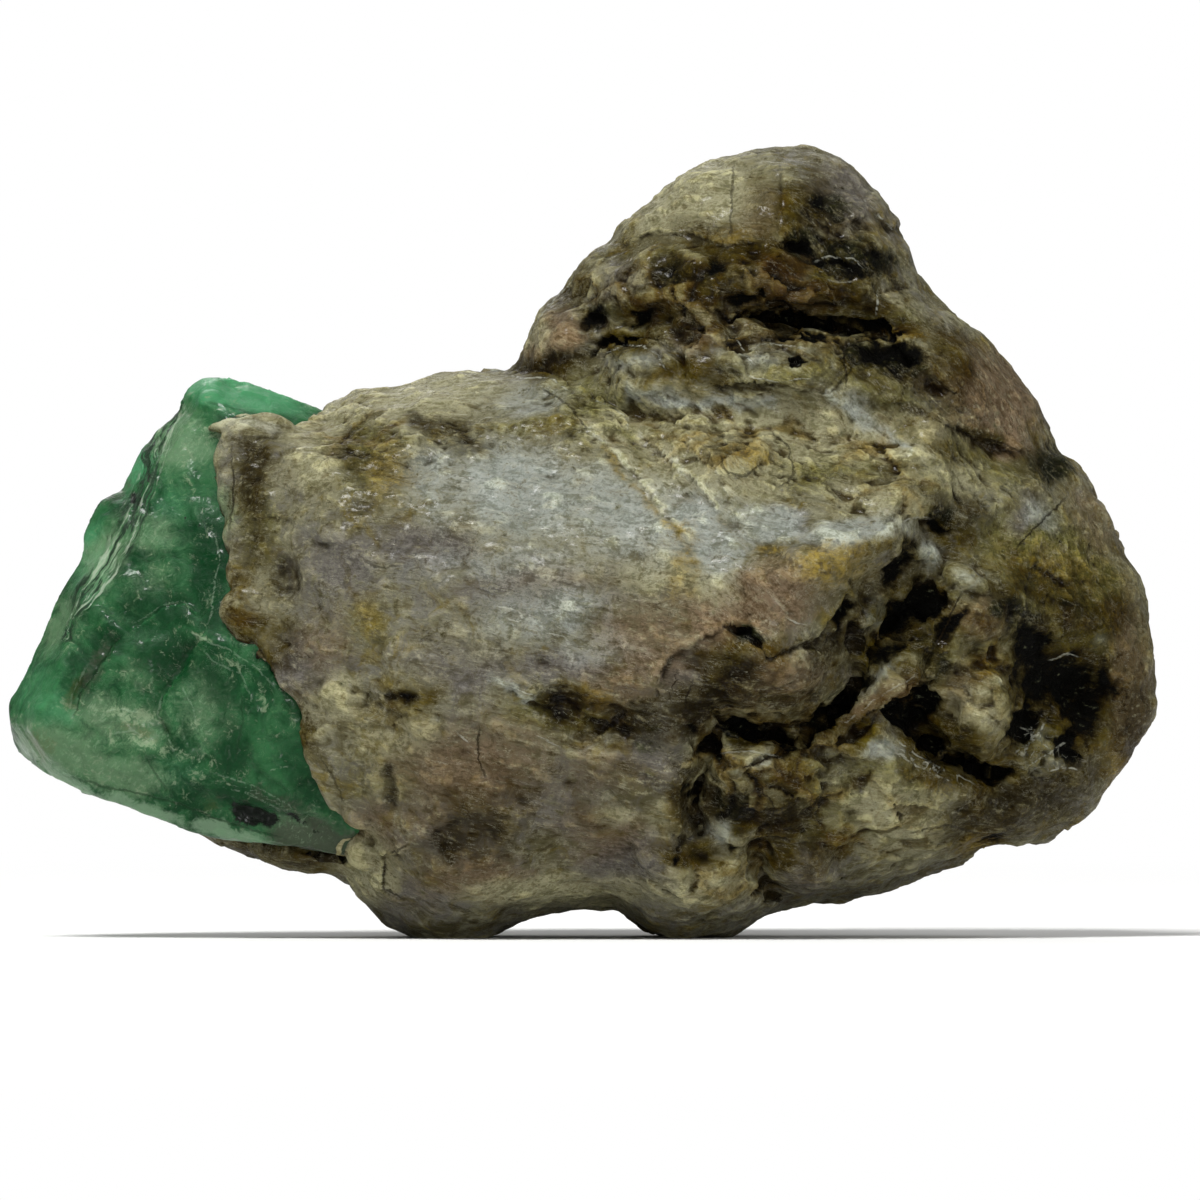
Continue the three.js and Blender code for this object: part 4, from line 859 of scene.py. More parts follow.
# What the rock is made of where it shows on the front: [x, z, half length, half width, turn, strength].
ROCK_PATCHES = {
    "olive": [
        [1, 26, 3.5, 1.8, -25, 0.7], [-10.5, 24, 2.2, 2.2, 0, 0.7], [23, 19, 4, 2.6, -15, 0.9],
        [15, 30.7, 2.2, 0.7, -5, 0.9], [3, 31.5, 2.4, 1.4, 0, 0.7], [12, 24, 4, 2, 0, 0.7],
        [-10.8, 15.8, 1.5, 1.6, 0, 0.5], [-1, 11.4, 2.8, 1, 0, 0.9], [20, 24, 3, 1.6, -30, 0.6],
        [-9, 8.4, 3, 2, 0, 0.5], [13.4, 34, 1.6, 1.2, 0, 0.5], [9.5, 17.8, 3, 1.2, 0, 0.5],
        [26.5, 14, 2, 5, 0, 0.8], [12, 7, 3, 2.5, 0, 0.7], [4, 33.4, 2.4, 1.2, 0, 0.6],
        [-16.2, 21, 1.2, 3, 10, 0.6], [-1.2, 16.6, 0.6, 0.5, 0, 0.7], [17, 23, 3, 2, 0, 0.5],
        [9.8, 28.4, 3, 1.4, 0, 0.6], [8.8, 36, 1, 2.4, 0, 0.9], [14.6, 27.6, 3, 1.4, -30, 0.6],
        [20.6, 15, 5, 5, 0, 0.6], [24.5, 18, 3, 2, -20, 1], [-15.2, 11.6, 0.8, 2, 20, 0.5],
        [15, 7.6, 3.6, 2, -20, 0.6], [-3, 25.6, 2, 0.8, 0, 0.5],
    ],
    "lilac": [
        [12.8, 36.6, 2.2, 2.2, 0, 0.8], [15.2, 36, 0.8, 2.2, 10, 0.5], [1.4, 32.6, 1.4, 1, 10, 0.8],
        [-7.5, 19.4, 3.4, 1.5, 0, 0.85], [-3.5, 17.4, 4, 1.5, 0, 0.7], [2, 3.8, 2.8, 1.6, 0, 0.8],
        [-6, 5.2, 2.8, 1.8, 0, 0.8], [5.2, 13.6, 1.8, 1.1, 20, 0.8], [7.5, 33.9, 0.8, 0.5, 0, 0.8],
        [22, 21, 1.3, 0.8, 50, 0.75], [-14.2, 13.5, 1.8, 1.6, 0, 0.7], [2.6, 18, 2, 1.4, 0, 0.6],
        [-12, 18.4, 2.2, 2, 0, 0.6], [-1, 13.6, 2.4, 0.9, 0, 0.8], [3.6, 9.4, 1.6, 2.2, 0, 0.6],
        [-6, 13.6, 3, 1.8, 0, 0.6], [-1, 6.6, 3, 1.6, 0, 0.55], [1.8, 32.8, 1.8, 0.9, 10, 0.7],
        [-8.4, 2, 2.4, 1.2, 0, 0.5], [8, 12.4, 2.4, 1.2, 15, 0.6], [10.9, 3.4, 1.4, 1.5, 0, 0.8],
    ],
    "rose": [
        [27.2, 13, 1.2, 5, 0, 0.7], [25.6, 20.6, 1.2, 2.6, 30, 0.5], [8.7, 36.2, 1.2, 2, 0, 0.6],
        [-6, 8.6, 4, 2.2, 0, 0.75], [-5, 3.2, 3.4, 1, 0, 0.7], [-10.4, 5, 1.6, 2, 0, 0.6],
        [1, 5.4, 2.4, 1.4, 0, 0.6], [-1.4, 17.8, 3, 1, 0, 0.5], [1.6, 12.6, 2, 1.4, 0, 0.7],
        [8.2, 16.6, 3.8, 1.8, 18, 1], [3, 14.8, 2.6, 2.2, 0, 0.75], [20.5, 27, 2.8, 2.4, -45, 0.9],
        [-1.5, 29.9, 1.3, 1.7, -35, 0.95], [10, 33.3, 1.4, 0.8, 0, 1], [10.5, 31.9, 1.9, 0.6, -5, 0.9],
        [9.7, 12.6, 2.6, 1.5, 20, 0.8], [14.8, 11.9, 2.6, 0.6, 32, 0.9], [21.2, 24.8, 1.2, 0.7, -20, 1],
        [19.6, 16, 1.6, 1.1, 0, 0.7], [16.4, 25, 1.6, 0.8, 20, 0.8], [-4, 9, 3, 2.4, 0, 0.6],
        [17.6, 27.6, 1.6, 1, -40, 0.6], [5.6, 30.2, 1, 1.2, 0, 0.6], [-8, 6.4, 2, 1.6, 0, 0.4],
        [0.6, 8.4, 2.2, 1.4, 0, 0.5], [-12.8, 14.6, 1.4, 1.6, 0, 0.5], [19, 12.4, 1.6, 1.6, 0, 0.5],
    ],
    "cream": [
        [12.6, 25, 2.6, 1.6, 0, 0.8], [5.2, 18.4, 2.4, 1.4, -30, 0.8], [5.4, 36.9, 3.4, 2, 18, 0.95],
        [3.6, 35.6, 1.8, 0.8, 20, 0.9], [7, 38.2, 1.6, 0.8, 0, 0.7], [-13.4, 24.2, 1.3, 2.2, 5, 1],
        [-8, 27, 3.8, 1.3, 5, 1], [-2.6, 30.6, 0.7, 2.2, 30, 0.6], [5, 23.8, 1.8, 2.4, -30, 0.8],
        [8.4, 22.2, 1.6, 1.8, 0, 0.8], [8, 26, 5.4, 1.4, -5, 0.95], [15, 25, 3, 1.3, -5, 1],
        [15, 21.6, 3, 1.2, 0, 0.8], [15.4, 5.8, 2.8, 1.9, -25, 0.8], [20, 11.2, 1.3, 1.8, 0, 0.6],
        [6.2, 2.8, 2.4, 1.2, 5, 0.8], [12.4, 31.8, 2, 0.5, -10, 0.5], [-12, 12, 1.2, 1.1, 0, 0.85],
        [-8.4, 11.4, 1.6, 2.4, 0, 0.5], [4, 6.2, 1.2, 1, 0, 0.6], [-15.6, 16.6, 1, 2.2, 10, 0.5],
        [1.6, 6.3, 1, 0.5, 0, 0.7], [1.6, 23.4, 1.4, 1, -40, 0.6], [-4.8, 15, 2.4, 1.2, 0, 0.4],
        [-10.4, 10, 1.6, 1.2, 0, 0.5], [18.4, 22.8, 1.8, 1, 0, 0.6], [12.4, 7.4, 0.9, 1.2, 0, 0.6],
        [-0.4, 21.6, 8, 3.6, -8, 0.45], [-1, 2.3, 4.4, 0.8, 0, 0.95], [10.2, 25.2, 2.2, 1.5, 0, 1.3],
        [-11, 3.6, 1.8, 1.6, 0, 0.9], [12, 11.8, 1.1, 0.8, 0, 0.9], [2, 25.9, 1.2, 0.7, -20, 0.8],
        [6, 9.2, 0.8, 1, 0, 0.8], [0.2, 32.6, 0.8, 0.6, 30, 0.7], [-12.4, 26, 1.2, 0.7, 20, 0.9],
        [3.2, 18, 1.8, 1, -20, 0.7], [13.8, 18, 0.8, 0.8, 0, 0.6],
    ],
    "quartz": [
        [-3, 22.2, 3.6, 2.2, -12, 0.95], [-6.6, 22.6, 3, 2, 0, 0.6], [1.5, 21.2, 3.2, 2.2, -20, 0.75],
        [5.6, 20.2, 2.6, 2, -20, 0.9], [9, 20.6, 2, 0.9, -10, 0.85], [13.2, 20.3, 3.2, 0.7, 5, 0.8],
        [-4, 18.6, 5, 1, 0, 0.45], [-2, 16.2, 3.2, 1.4, 5, 0.6], [-2.6, 26.8, 2.6, 0.7, 0, 0.5],
        [0.4, 14.4, 2.2, 1, 0, 0.4], [9.4, 28.9, 2, 0.5, 0, 0.6], [8, 29.2, 0.5, 0.6, 0, 0.8],
        [2.4, 28.7, 1.5, 0.6, -10, 0.6], [12.4, 32.8, 1.3, 0.4, -10, 0.6], [22.6, 21, 0.8, 0.8, 60, 0.7],
        [24.6, 14.9, 1.8, 0.6, 10, 0.7], [22.8, 9.4, 1.3, 1.1, 0, 0.75], [15, 13.8, 1.4, 0.9, 0, 0.65],
        [14.8, 9.5, 0.9, 0.5, -10, 0.8], [17, 19, 0.8, 0.6, -20, 0.8], [14.4, 16.3, 0.45, 1, -28, 0.7],
        [19.2, 18.1, 0.9, 0.5, 0, 0.8], [8.6, 8.8, 1.6, 0.35, 10, 0.6], [6.8, 5.4, 1.2, 0.7, 0, 0.7],
        [13, 26.8, 1.6, 0.6, -30, 0.5], [4, 26.9, 1.2, 0.4, 0, 0.5],
    ],
    "ochre": [
        [4.9, 18.6, 0.7, 2, -12, 0.6], [12.5, 18.6, 1.9, 1.1, 15, 0.6], [9.2, 19.2, 0.9, 0.4, 0, 0.7],
        [-16.9, 15.8, 0.6, 0.6, 0, 0.9], [3.4, 31.4, 1.4, 0.8, 0, 0.8], [4.8, 32.3, 0.8, 0.5, 0, 0.8],
        [10.2, 8, 1.2, 1, 0, 0.8], [23, 18.4, 3.2, 1.4, -10, 0.45], [19.6, 4.8, 1.4, 0.6, 10, 0.8],
        [0.2, 12.2, 1.2, 0.5, 0, 0.7], [20.4, 13.6, 0.9, 1, 0, 0.7], [12.6, 4.9, 1, 0.7, 0, 0.7],
        [15.6, 30.2, 2.2, 0.5, -8, 0.8], [-9.8, 23, 1.4, 1.6, 0, 0.5], [8.4, 24, 1.2, 0.5, -20, 0.6],
        [-10.6, 15.8, 1, 1, 0, 0.45], [9, 14.3, 0.8, 0.3, 0, 0.7], [4.6, 6.6, 0.7, 1.2, 0, 0.6],
        [26.4, 8.8, 1, 1.4, 0, 0.5], [17, 7.8, 1.2, 0.5, -20, 0.5], [6.8, 35, 2.2, 0.4, 0, 0.5],
    ],
    "umber": [
        [6, 31.2, 5, 1.8, -6, 0.45], [11.8, 36, 1.5, 1.6, 0, 0.6], [16.6, 28, 3.6, 1.2, -40, 0.6],
        [7.2, 12.6, 2.2, 1, 15, 0.9], [5, 35.2, 3.4, 0.5, 8, 0.5], [8.9, 36, 0.8, 2.2, 0, 0.4],
        [13, 15.6, 3, 0.9, 50, 0.75], [8, 11.4, 6, 1.4, 10, 0.7], [5.5, 6.8, 1.6, 2.2, 0, 0.8],
        [9.6, 6.8, 1.8, 1.8, 0, 0.7], [21, 6.4, 4, 1.2, 15, 0.6], [-16.4, 23, 0.9, 2.4, 0, 0.75],
        [-11.6, 23.8, 0.8, 1.4, 10, 0.6], [-0.8, 11.8, 1.5, 0.8, -8, 0.85], [2.35, 10.8, 1.2, 0.9, 0, 0.8],
        [-14.8, 18, 0.9, 1.2, 20, 0.6], [19, 21.4, 1.4, 0.7, -30, 0.7], [-6.6, 25.2, 1.6, 1, -30, 0.65],
        [2.5, 8.2, 2.2, 0.8, 0, 0.5], [-9, 12, 0.7, 0.3, -10, 0.8], [-10.4, 12, 0.5, 0.25, 20, 0.6],
        [-7.3, 10.8, 0.3, 0.4, 0, 0.8], [-9.7, 7.4, 0.4, 1.3, 10, 0.6], [-6.4, 4.7, 0.7, 0.6, 0, 0.9],
        [-16, 19.4, 0.7, 1.6, 0, 0.6], [-5.8, 5.4, 2.2, 0.9, 20, 0.55], [-1.2, 28.7, 1.6, 0.5, 10, 0.8],
        [7.2, 16.2, 0.8, 0.3, 30, 0.4], [-17.4, 16, 0.3, 0.5, 0, 0.8], [19.8, 25, 1.6, 0.4, -15, 0.8],
        [6.8, 14, 1.4, 0.8, 20, 0.4], [-15.6, 4.2, 3.4, 0.8, 0, 0.55], [-11, 21.6, 1, 0.5, 0, 0.5],
        [27.6, 11, 0.8, 3, 0, 0.6], [-14.8, 6.6, 0.6, 1.2, 0, 0.4],
    ],
    "moss": [
        [0.7, 30.9, 0.6, 0.6, 0, 0.95], [13.4, 33.9, 2.4, 0.8, -8, 0.9], [7.8, 10.1, 1.1, 0.6, -10, 0.9],
        [23.3, 23.6, 1, 0.9, 0, 0.9], [14.6, 29, 2.2, 0.9, -12, 0.95], [17.2, 14, 1.2, 1.6, 40, 0.6],
        [8.3, 14.9, 1.1, 0.5, -25, 0.8], [4.8, 33, 2, 0.5, 0, 0.6], [7.6, 6.6, 1.3, 1, 0, 0.8],
        [21.5, 16.2, 1.6, 0.7, -20, 0.7], [11.8, 17, 1, 0.4, 40, 0.4], [12.2, 36.4, 1.4, 1, 0, 0.6],
        [10.8, 34.6, 1, 0.8, 0, 0.9], [17.6, 21, 1, 0.5, -40, 0.7], [3.4, 10, 1, 0.6, 0, 0.4],
        [24.6, 16.4, 1.4, 0.6, 0, 0.5], [8.2, 10.1, 1.6, 0.5, 0, 0.9], [22.2, 13.9, 1, 0.6, 0, 1],
        [19, 9.8, 0.8, 1.2, 0, 0.4], [-13.6, 5.2, 0.8, 0.4, 0, 0.5],
    ],
    "sooty": [
        [8.6, 32.8, 6.6, 2.2, -6, 0.85], [13.6, 33.4, 2, 1.2, 0, 0.8], [6.6, 14.2, 2.4, 0.9, 15, 0.85],
        [10.4, 36.4, 0.9, 1.8, 0, 0.9], [7.6, 34, 2, 0.7, 0, 1.1], [2.2, 29.9, 1.4, 0.5, 5, 1.2],
        [12.2, 34.2, 1.2, 0.8, 0, 0.9], [6, 32, 1.2, 0.8, 0, 1.3], [24, 12, 0.9, 1, 0, 1.6],
        [22.2, 14.2, 1, 0.8, 0, 1.5], [26.2, 16, 1.4, 1.4, 0, 1], [14, 10.2, 0.9, 0.6, 30, 1.3],
        [16.4, 9.6, 1, 0.6, -20, 1], [18.2, 8, 1.6, 0.5, -20, 1], [8.2, 9.9, 1.2, 0.5, -8, 1.5],
        [8.2, 5.8, 1, 0.8, 0, 1.2], [10.2, 4.2, 1.2, 1, 0, 1], [5.6, 4.2, 1.4, 0.8, 0, 1.1],
        [-14, 10.2, 0.8, 1.2, 20, 1], [20.2, 16, 1.4, 0.8, 0, 0.8], [-16.4, 15.2, 1, 1.2, 0, 0.9],
        [4.2, 32.4, 1.4, 0.6, 10, 0.8], [8, 34, 2.6, 0.9, 0, 0.85], [11.2, 36.6, 1.2, 1.8, 0, 0.75],
        [8.8, 37, 0.9, 1.6, 0, 0.3], [13.6, 31.9, 3, 0.7, -5, 0.7], [17, 30, 2.2, 0.9, -20, 0.7],
        [14.2, 28, 2.2, 0.7, -25, 0.7], [5, 28, 2.2, 0.8, -5, 0.7], [16.8, 25.2, 2.4, 0.9, -30, 0.5],
        [18, 20.2, 1.3, 0.9, -30, 1], [23.4, 17.4, 4.2, 1.7, -5, 0.65], [14, 14.2, 0.9, 1.3, -30, 0.9],
        [13.7, 10.2, 1, 0.6, 30, 1], [19.2, 7.8, 1.8, 0.6, -20, 0.9], [12, 4.8, 1.6, 1.4, 0, 0.8],
        [5, 4.2, 1.6, 0.9, 0, 0.9], [8.3, 6.1, 1.2, 0.9, 0, 0.9], [22.3, 14, 0.9, 0.8, 0, 1.2],
        [24.2, 11.8, 0.9, 0.7, 0, 1.2], [26.8, 10, 0.9, 1.6, 0, 0.7], [20, 12.2, 1.6, 1.4, 0, 0.4],
        [-15.4, 15, 1.6, 1.4, -20, 0.8], [-14.4, 10.2, 1.2, 1.6, 20, 0.9], [-15, 6.2, 1.4, 0.8, -20, 0.7],
        [-8.2, 12, 1.4, 0.8, 0, 0.7], [0.2, 11.2, 2, 1.3, -10, 0.8], [0.2, 6.4, 1.4, 0.9, 0, 0.5],
        [8, 13.6, 3.2, 1, 20, 0.7], [17.4, 22.4, 1.6, 0.7, -35, 0.5], [-4.4, 8.2, 1.8, 1.2, 0, 0.35],
        [7, 31.6, 8.6, 2, -5, 0.65], [12, 35.2, 1.8, 2.2, 0, 0.55], [17.6, 29.2, 3.6, 1.4, -35, 0.5],
        [24, 12.4, 3.2, 3.8, 0, 1], [25.5, 17, 2.8, 4, 15, 0.35], [16.4, 15.8, 2.6, 3.4, 30, 0.8],
        [18, 9.4, 3.2, 1.8, -20, 0.9], [20.5, 15.4, 3, 1.4, 0, 0.6], [22, 9, 2.6, 2, 0, 0.7],
        [10.6, 10.4, 3.8, 1.2, 8, 0.8], [12.4, 14.2, 2, 1.2, 40, 0.55], [7.4, 7.4, 2.6, 1.8, 0, 0.7],
        [21.4, 6.4, 4.4, 1.8, 12, 0.6], [8.6, 4.8, 1.4, 1.2, 0, 0.5], [18, 20.8, 2.2, 1, -30, 0.6],
        [7, 13, 2.4, 1.4, 15, 0.9], [-4.8, 5.8, 2.8, 2.4, 15, 0.7], [2.2, 29.6, 1.8, 1.2, 0, 0.8],
        [5.2, 28.3, 1.8, 0.9, 0, 0.9], [22.6, 14.4, 1.2, 1, 0, 1], [0.2, 11, 2.2, 1.4, 0, 0.5],
        [14.8, 11.6, 2, 1, 30, 0.6], [16.8, 8.3, 1.6, 0.8, -20, 0.8], [24.2, 8, 1.6, 1, 0, 0.8],
        [9.4, 6, 1.8, 1.6, 0, 0.8], [5, 4, 1.4, 1.2, 0, 0.6], [11, 3.8, 1.6, 1.4, 0, 0.6],
        [-14.2, 10.4, 0.8, 2, 20, 0.6], [18, 24.2, 1.6, 0.8, -20, 0.7], [18.2, 28.8, 1.8, 1.4, -40, 0.9],
        [-17.4, 16.4, 0.8, 1.8, 0, 0.6], [-1.9, 28.3, 1.8, 0.7, 0, 1.1], [-15.9, 14.2, 1.2, 0.8, -30, 0.8],
        [10.7, 36.2, 0.8, 2, 0, 0.8], [19.4, 18.4, 1.4, 0.7, -20, 0.6], [15.8, 10.8, 1.6, 0.6, 35, 0.6],
        [17.2, 20.2, 1.8, 0.8, -35, 0.6], [14.6, 28.6, 2.8, 1, -20, 0.8], [4.6, 11.6, 2.4, 1.2, 0, 0.6],
        [22.8, 23.4, 1.6, 1.2, 0, 0.6], [-1, 28.6, 2, 0.6, 10, 0.5], [-16.6, 22.6, 0.8, 3, 0, 0.4],
        [0.6, 30.6, 1.2, 1.2, 0, 0.6], [-7, 4.4, 3.4, 1.4, 0, 0.35], [-15, 4, 4, 0.8, 0, 0.5],
    ],
    "crust": [
        [-17, 25.7, 2.2, 0.4, 0, 0.7], [8, 29.3, 0.3, 0.6, 10, 0.7], [20, 12.6, 1.2, 0.4, 10, 0.75],
        [22.9, 9.2, 0.9, 0.7, 0, 0.6], [15, 10, 0.8, 0.4, -20, 0.6], [8, 26.9, 1, 0.4, 0, 0.5],
    ],
    "greenish": [
        [-18.5, 23.6, 0.8, 2, 0, 1], [-18, 21.2, 0.6, 1.4, 0, 0.7], [-16.6, 13.9, 1.2, 0.5, -30, 0.6],
    ],
    "slant": [
        [5, 24, 3.4, 2.6, -40, 1], [15, 27, 4.4, 2.6, -40, 1], [20, 27, 3, 3, -40, 1],
        [12, 34.8, 3, 3, 0, 0.8], [9, 16, 4, 3, 0, 0.6],
    ],
}

# What the sides away from the front are made of: how large its patches are, how rare, and how strong.
UNSEEN_GROUND = {
    "olive": (6, 0, 0.7), "lilac": (5, 0.05, 0.7), "rose": (5.5, 0.1, 0.8), "cream": (5, 0.05, 0.95),
    "quartz": (7.5, 0.08, 0.95), "ochre": (3, 0.25, 0.7), "umber": (3.4, 0.2, 0.75),
    "moss": (2.6, 0.3, 0.7), "sooty": (7, 0.15, 0.8), "mica": (3, 0.28, 0.9),
}


def oval(x, y, z, half_length, half_width, turn, half_thickness):
    """The placing of an oval blob: its half length and half width lie in the x-z plane."""
    spot = Matrix.Translation(np.array([x, y, z]) * MM + ORIGIN)
    turned = Matrix.Rotation(math.radians(-turn), 4, "Y")
    return spot @ turned @ Matrix.Diagonal((half_length, half_thickness, half_width, 1))


def unseen_ground(rock):
    """Patches of the same minerals all over the sides away from the front, with black mica in hollows."""
    unseen = eased(rock.normals[:, 1], -0.1, 0.4) * eased(rock.points[:, 1], -5, 0)
    fibres = stretched(rock.points, FOLIATION, 1.5)
    for number, (name, (size, rare, strength)) in enumerate(UNSEEN_GROUND.items()):
        amount = eased(fractal(fibres, size, seed=200 + 10 * number, octaves=3), rare, rare + 0.4)
        rock.mark(name, strength * amount * unseen)
    rock.push(-0.5 * rock.masks["mica"])


def broken_ground(rock):
    """How far the rock is broken into blocks at each point."""
    unseen = eased(fractal(rock.points, 7, seed=5, octaves=2), -0.1, 0.5) * eased(rock.points[:, 1], -2, 4)
    return np.maximum(0.12 + 0.6 * unseen, rock.strongest(BROKEN_GROUND))


def rock_swellings(rock):
    """Broad swellings all over, and those that are placed on the front."""
    height = 0.28 * fractal(rock.points, 4.5, seed=3, octaves=2)
    rock.swell(height, SWELLINGS)
    rock.push(height)


def mica_pockets(rock):
    """Pockets of black mica, and a little round bore."""
    rock.warp(1.3, 0.55, seed=21)
    height = np.zeros(len(rock.points))
    for *place, depth in POCKETS:
        inside = rock.patch(*place)
        height -= 0.6 * depth * eased(inside, 0.1, 1)
        rock.mark("mica", inside)
    rock.placed = rock.points
    *place, depth = BORE
    inside = rock.patch(*place)
    height -= depth * eased(inside, 0.3, 0.8)
    rock.mark("mica", 3 * eased(inside, 0.4, 0.6))
    rock.push(height)


def blocks_and_cracks(rock, broken):
    """Blocks and chips with joints between them where the ground is broken, cracks, and low steps."""
    rock.warp(1.4, 0.3, seed=31)
    fibres = stretched(rock.points, FOLIATION, 1.6)
    edge, block, tilt = grains(fibres, 2.2, seed=41)
    blocks = 0.3 * (block - 0.5) + 0.42 * tilt
    rock.mark("joint", eased(edge, 0.22, 0) * eased(broken, 0.15, 0.8))
    edge, chip, tilt = grains(fibres, 0.9, seed=43)
    chips = 0.08 * (chip - 0.5) + 0.2 * tilt
    rock.mark("joint", 0.7 * eased(edge, 0.25, 0) * eased(broken, 0.3, 0.9))
    shade = 0.5 * (block - 0.5) + 0.6 * (chip - 0.5)
    rock.mark("block", 0.5 + shade * eased(broken, 0.1, 0.6))
    height = broken * (blocks * 0.75 + chips * 0.85)
    height += 0.08 * (0.2 + broken) * (ridged(rock.points, 1.5, seed=51) - 0.5)
    ragged = 1 + 0.6 * fractal(rock.points, 0.9, seed=57, octaves=3)
    for depth, path in CRACKS:
        height -= 0.8 * depth * eased(rock.line(path)[0] * ragged, 1.5, 0.1)
    for step in STEPS:
        height += rock.terrace(*step)
    rock.push(height)


def fine_relief(rock, broken):
    """Low lumps, fine streaks, and ground that is wrinkled into curls."""
    streaks = stretched(rock.points, FINE_STREAKS, 6)
    fine = 0.05 * fractal(streaks, 0.7, seed=61, octaves=3)
    fine += 0.03 * fractal(rock.points, 0.6, seed=71, octaves=2)
    lumps = 0.24 * fractal(stretched(rock.points, FINE_STREAKS, 1.5), 1.9, seed=73, octaves=3)
    curled = rock.strongest(CURLED_GROUND)
    wavy = rock.points + 0.35 * noise(rock.points, 1.6, seed=75)[:, None]
    curls = 1.3 * curled * (ridged(stretched(wavy, CURL_WAY, 3), 0.8, seed=77, octaves=3) - 0.6)
    rock.push(lumps + fine * (0.4 + 0.6 * broken) + curls)


def rock_marks(rock):
    """Painted shade in hollows, painted highlight on ridges, stain in broad hollows, and the minerals,
    streaks, cracks and painted glints of the front.
    """
    hollow = rock.hollowness(rounds=6)
    # Painted shade: how deep in a hollow each point lies.
    rock.mark("hollow", eased(hollow, 0.008, 0.1))
    # Painted highlight: how sharp a ridge each point is on.
    rock.mark("ridge_highlight", eased(-hollow, 0.006, 0.06))
    rock.mark("stain", eased(rock.hollowness(rounds=40), 0, 0.35))
    rock.warp(1.8, 0.5, seed=81)
    for name, patches in ROCK_PATCHES.items():
        rock.mark(name, rock.strongest(patches))
    for name, strength, path in STREAKS:
        rock.mark(name, strength * soft_edge(rock.line(path)[0]))
    rock.warp(0.9, 0.08, seed=91)
    rock.draw("crack", HAIRLINES)
    rock.draw("glint", PAINTED_GLINTS)


def rock_surface(crystal):
    """The rock as a fine surface round the crystal, with its relief and its marks."""
    crusts = [oval(x, crystal.depth(x, z), z, *size) for x, z, *size in CRUSTS]
    rock = Surface("matrix", voxel=0.17, wear=8, crusts=crusts)
    unseen_ground(rock)
    rock.warp(2.6, 0.45, seed=11)
    broken = broken_ground(rock)
    rock_swellings(rock)
    mica_pockets(rock)
    blocks_and_cracks(rock, broken)
    fine_relief(rock, broken)
    rock.meet(crystal, reach=0.5)
    rock_marks(rock)
    return rock


# ---------- the crystal's surface ----------

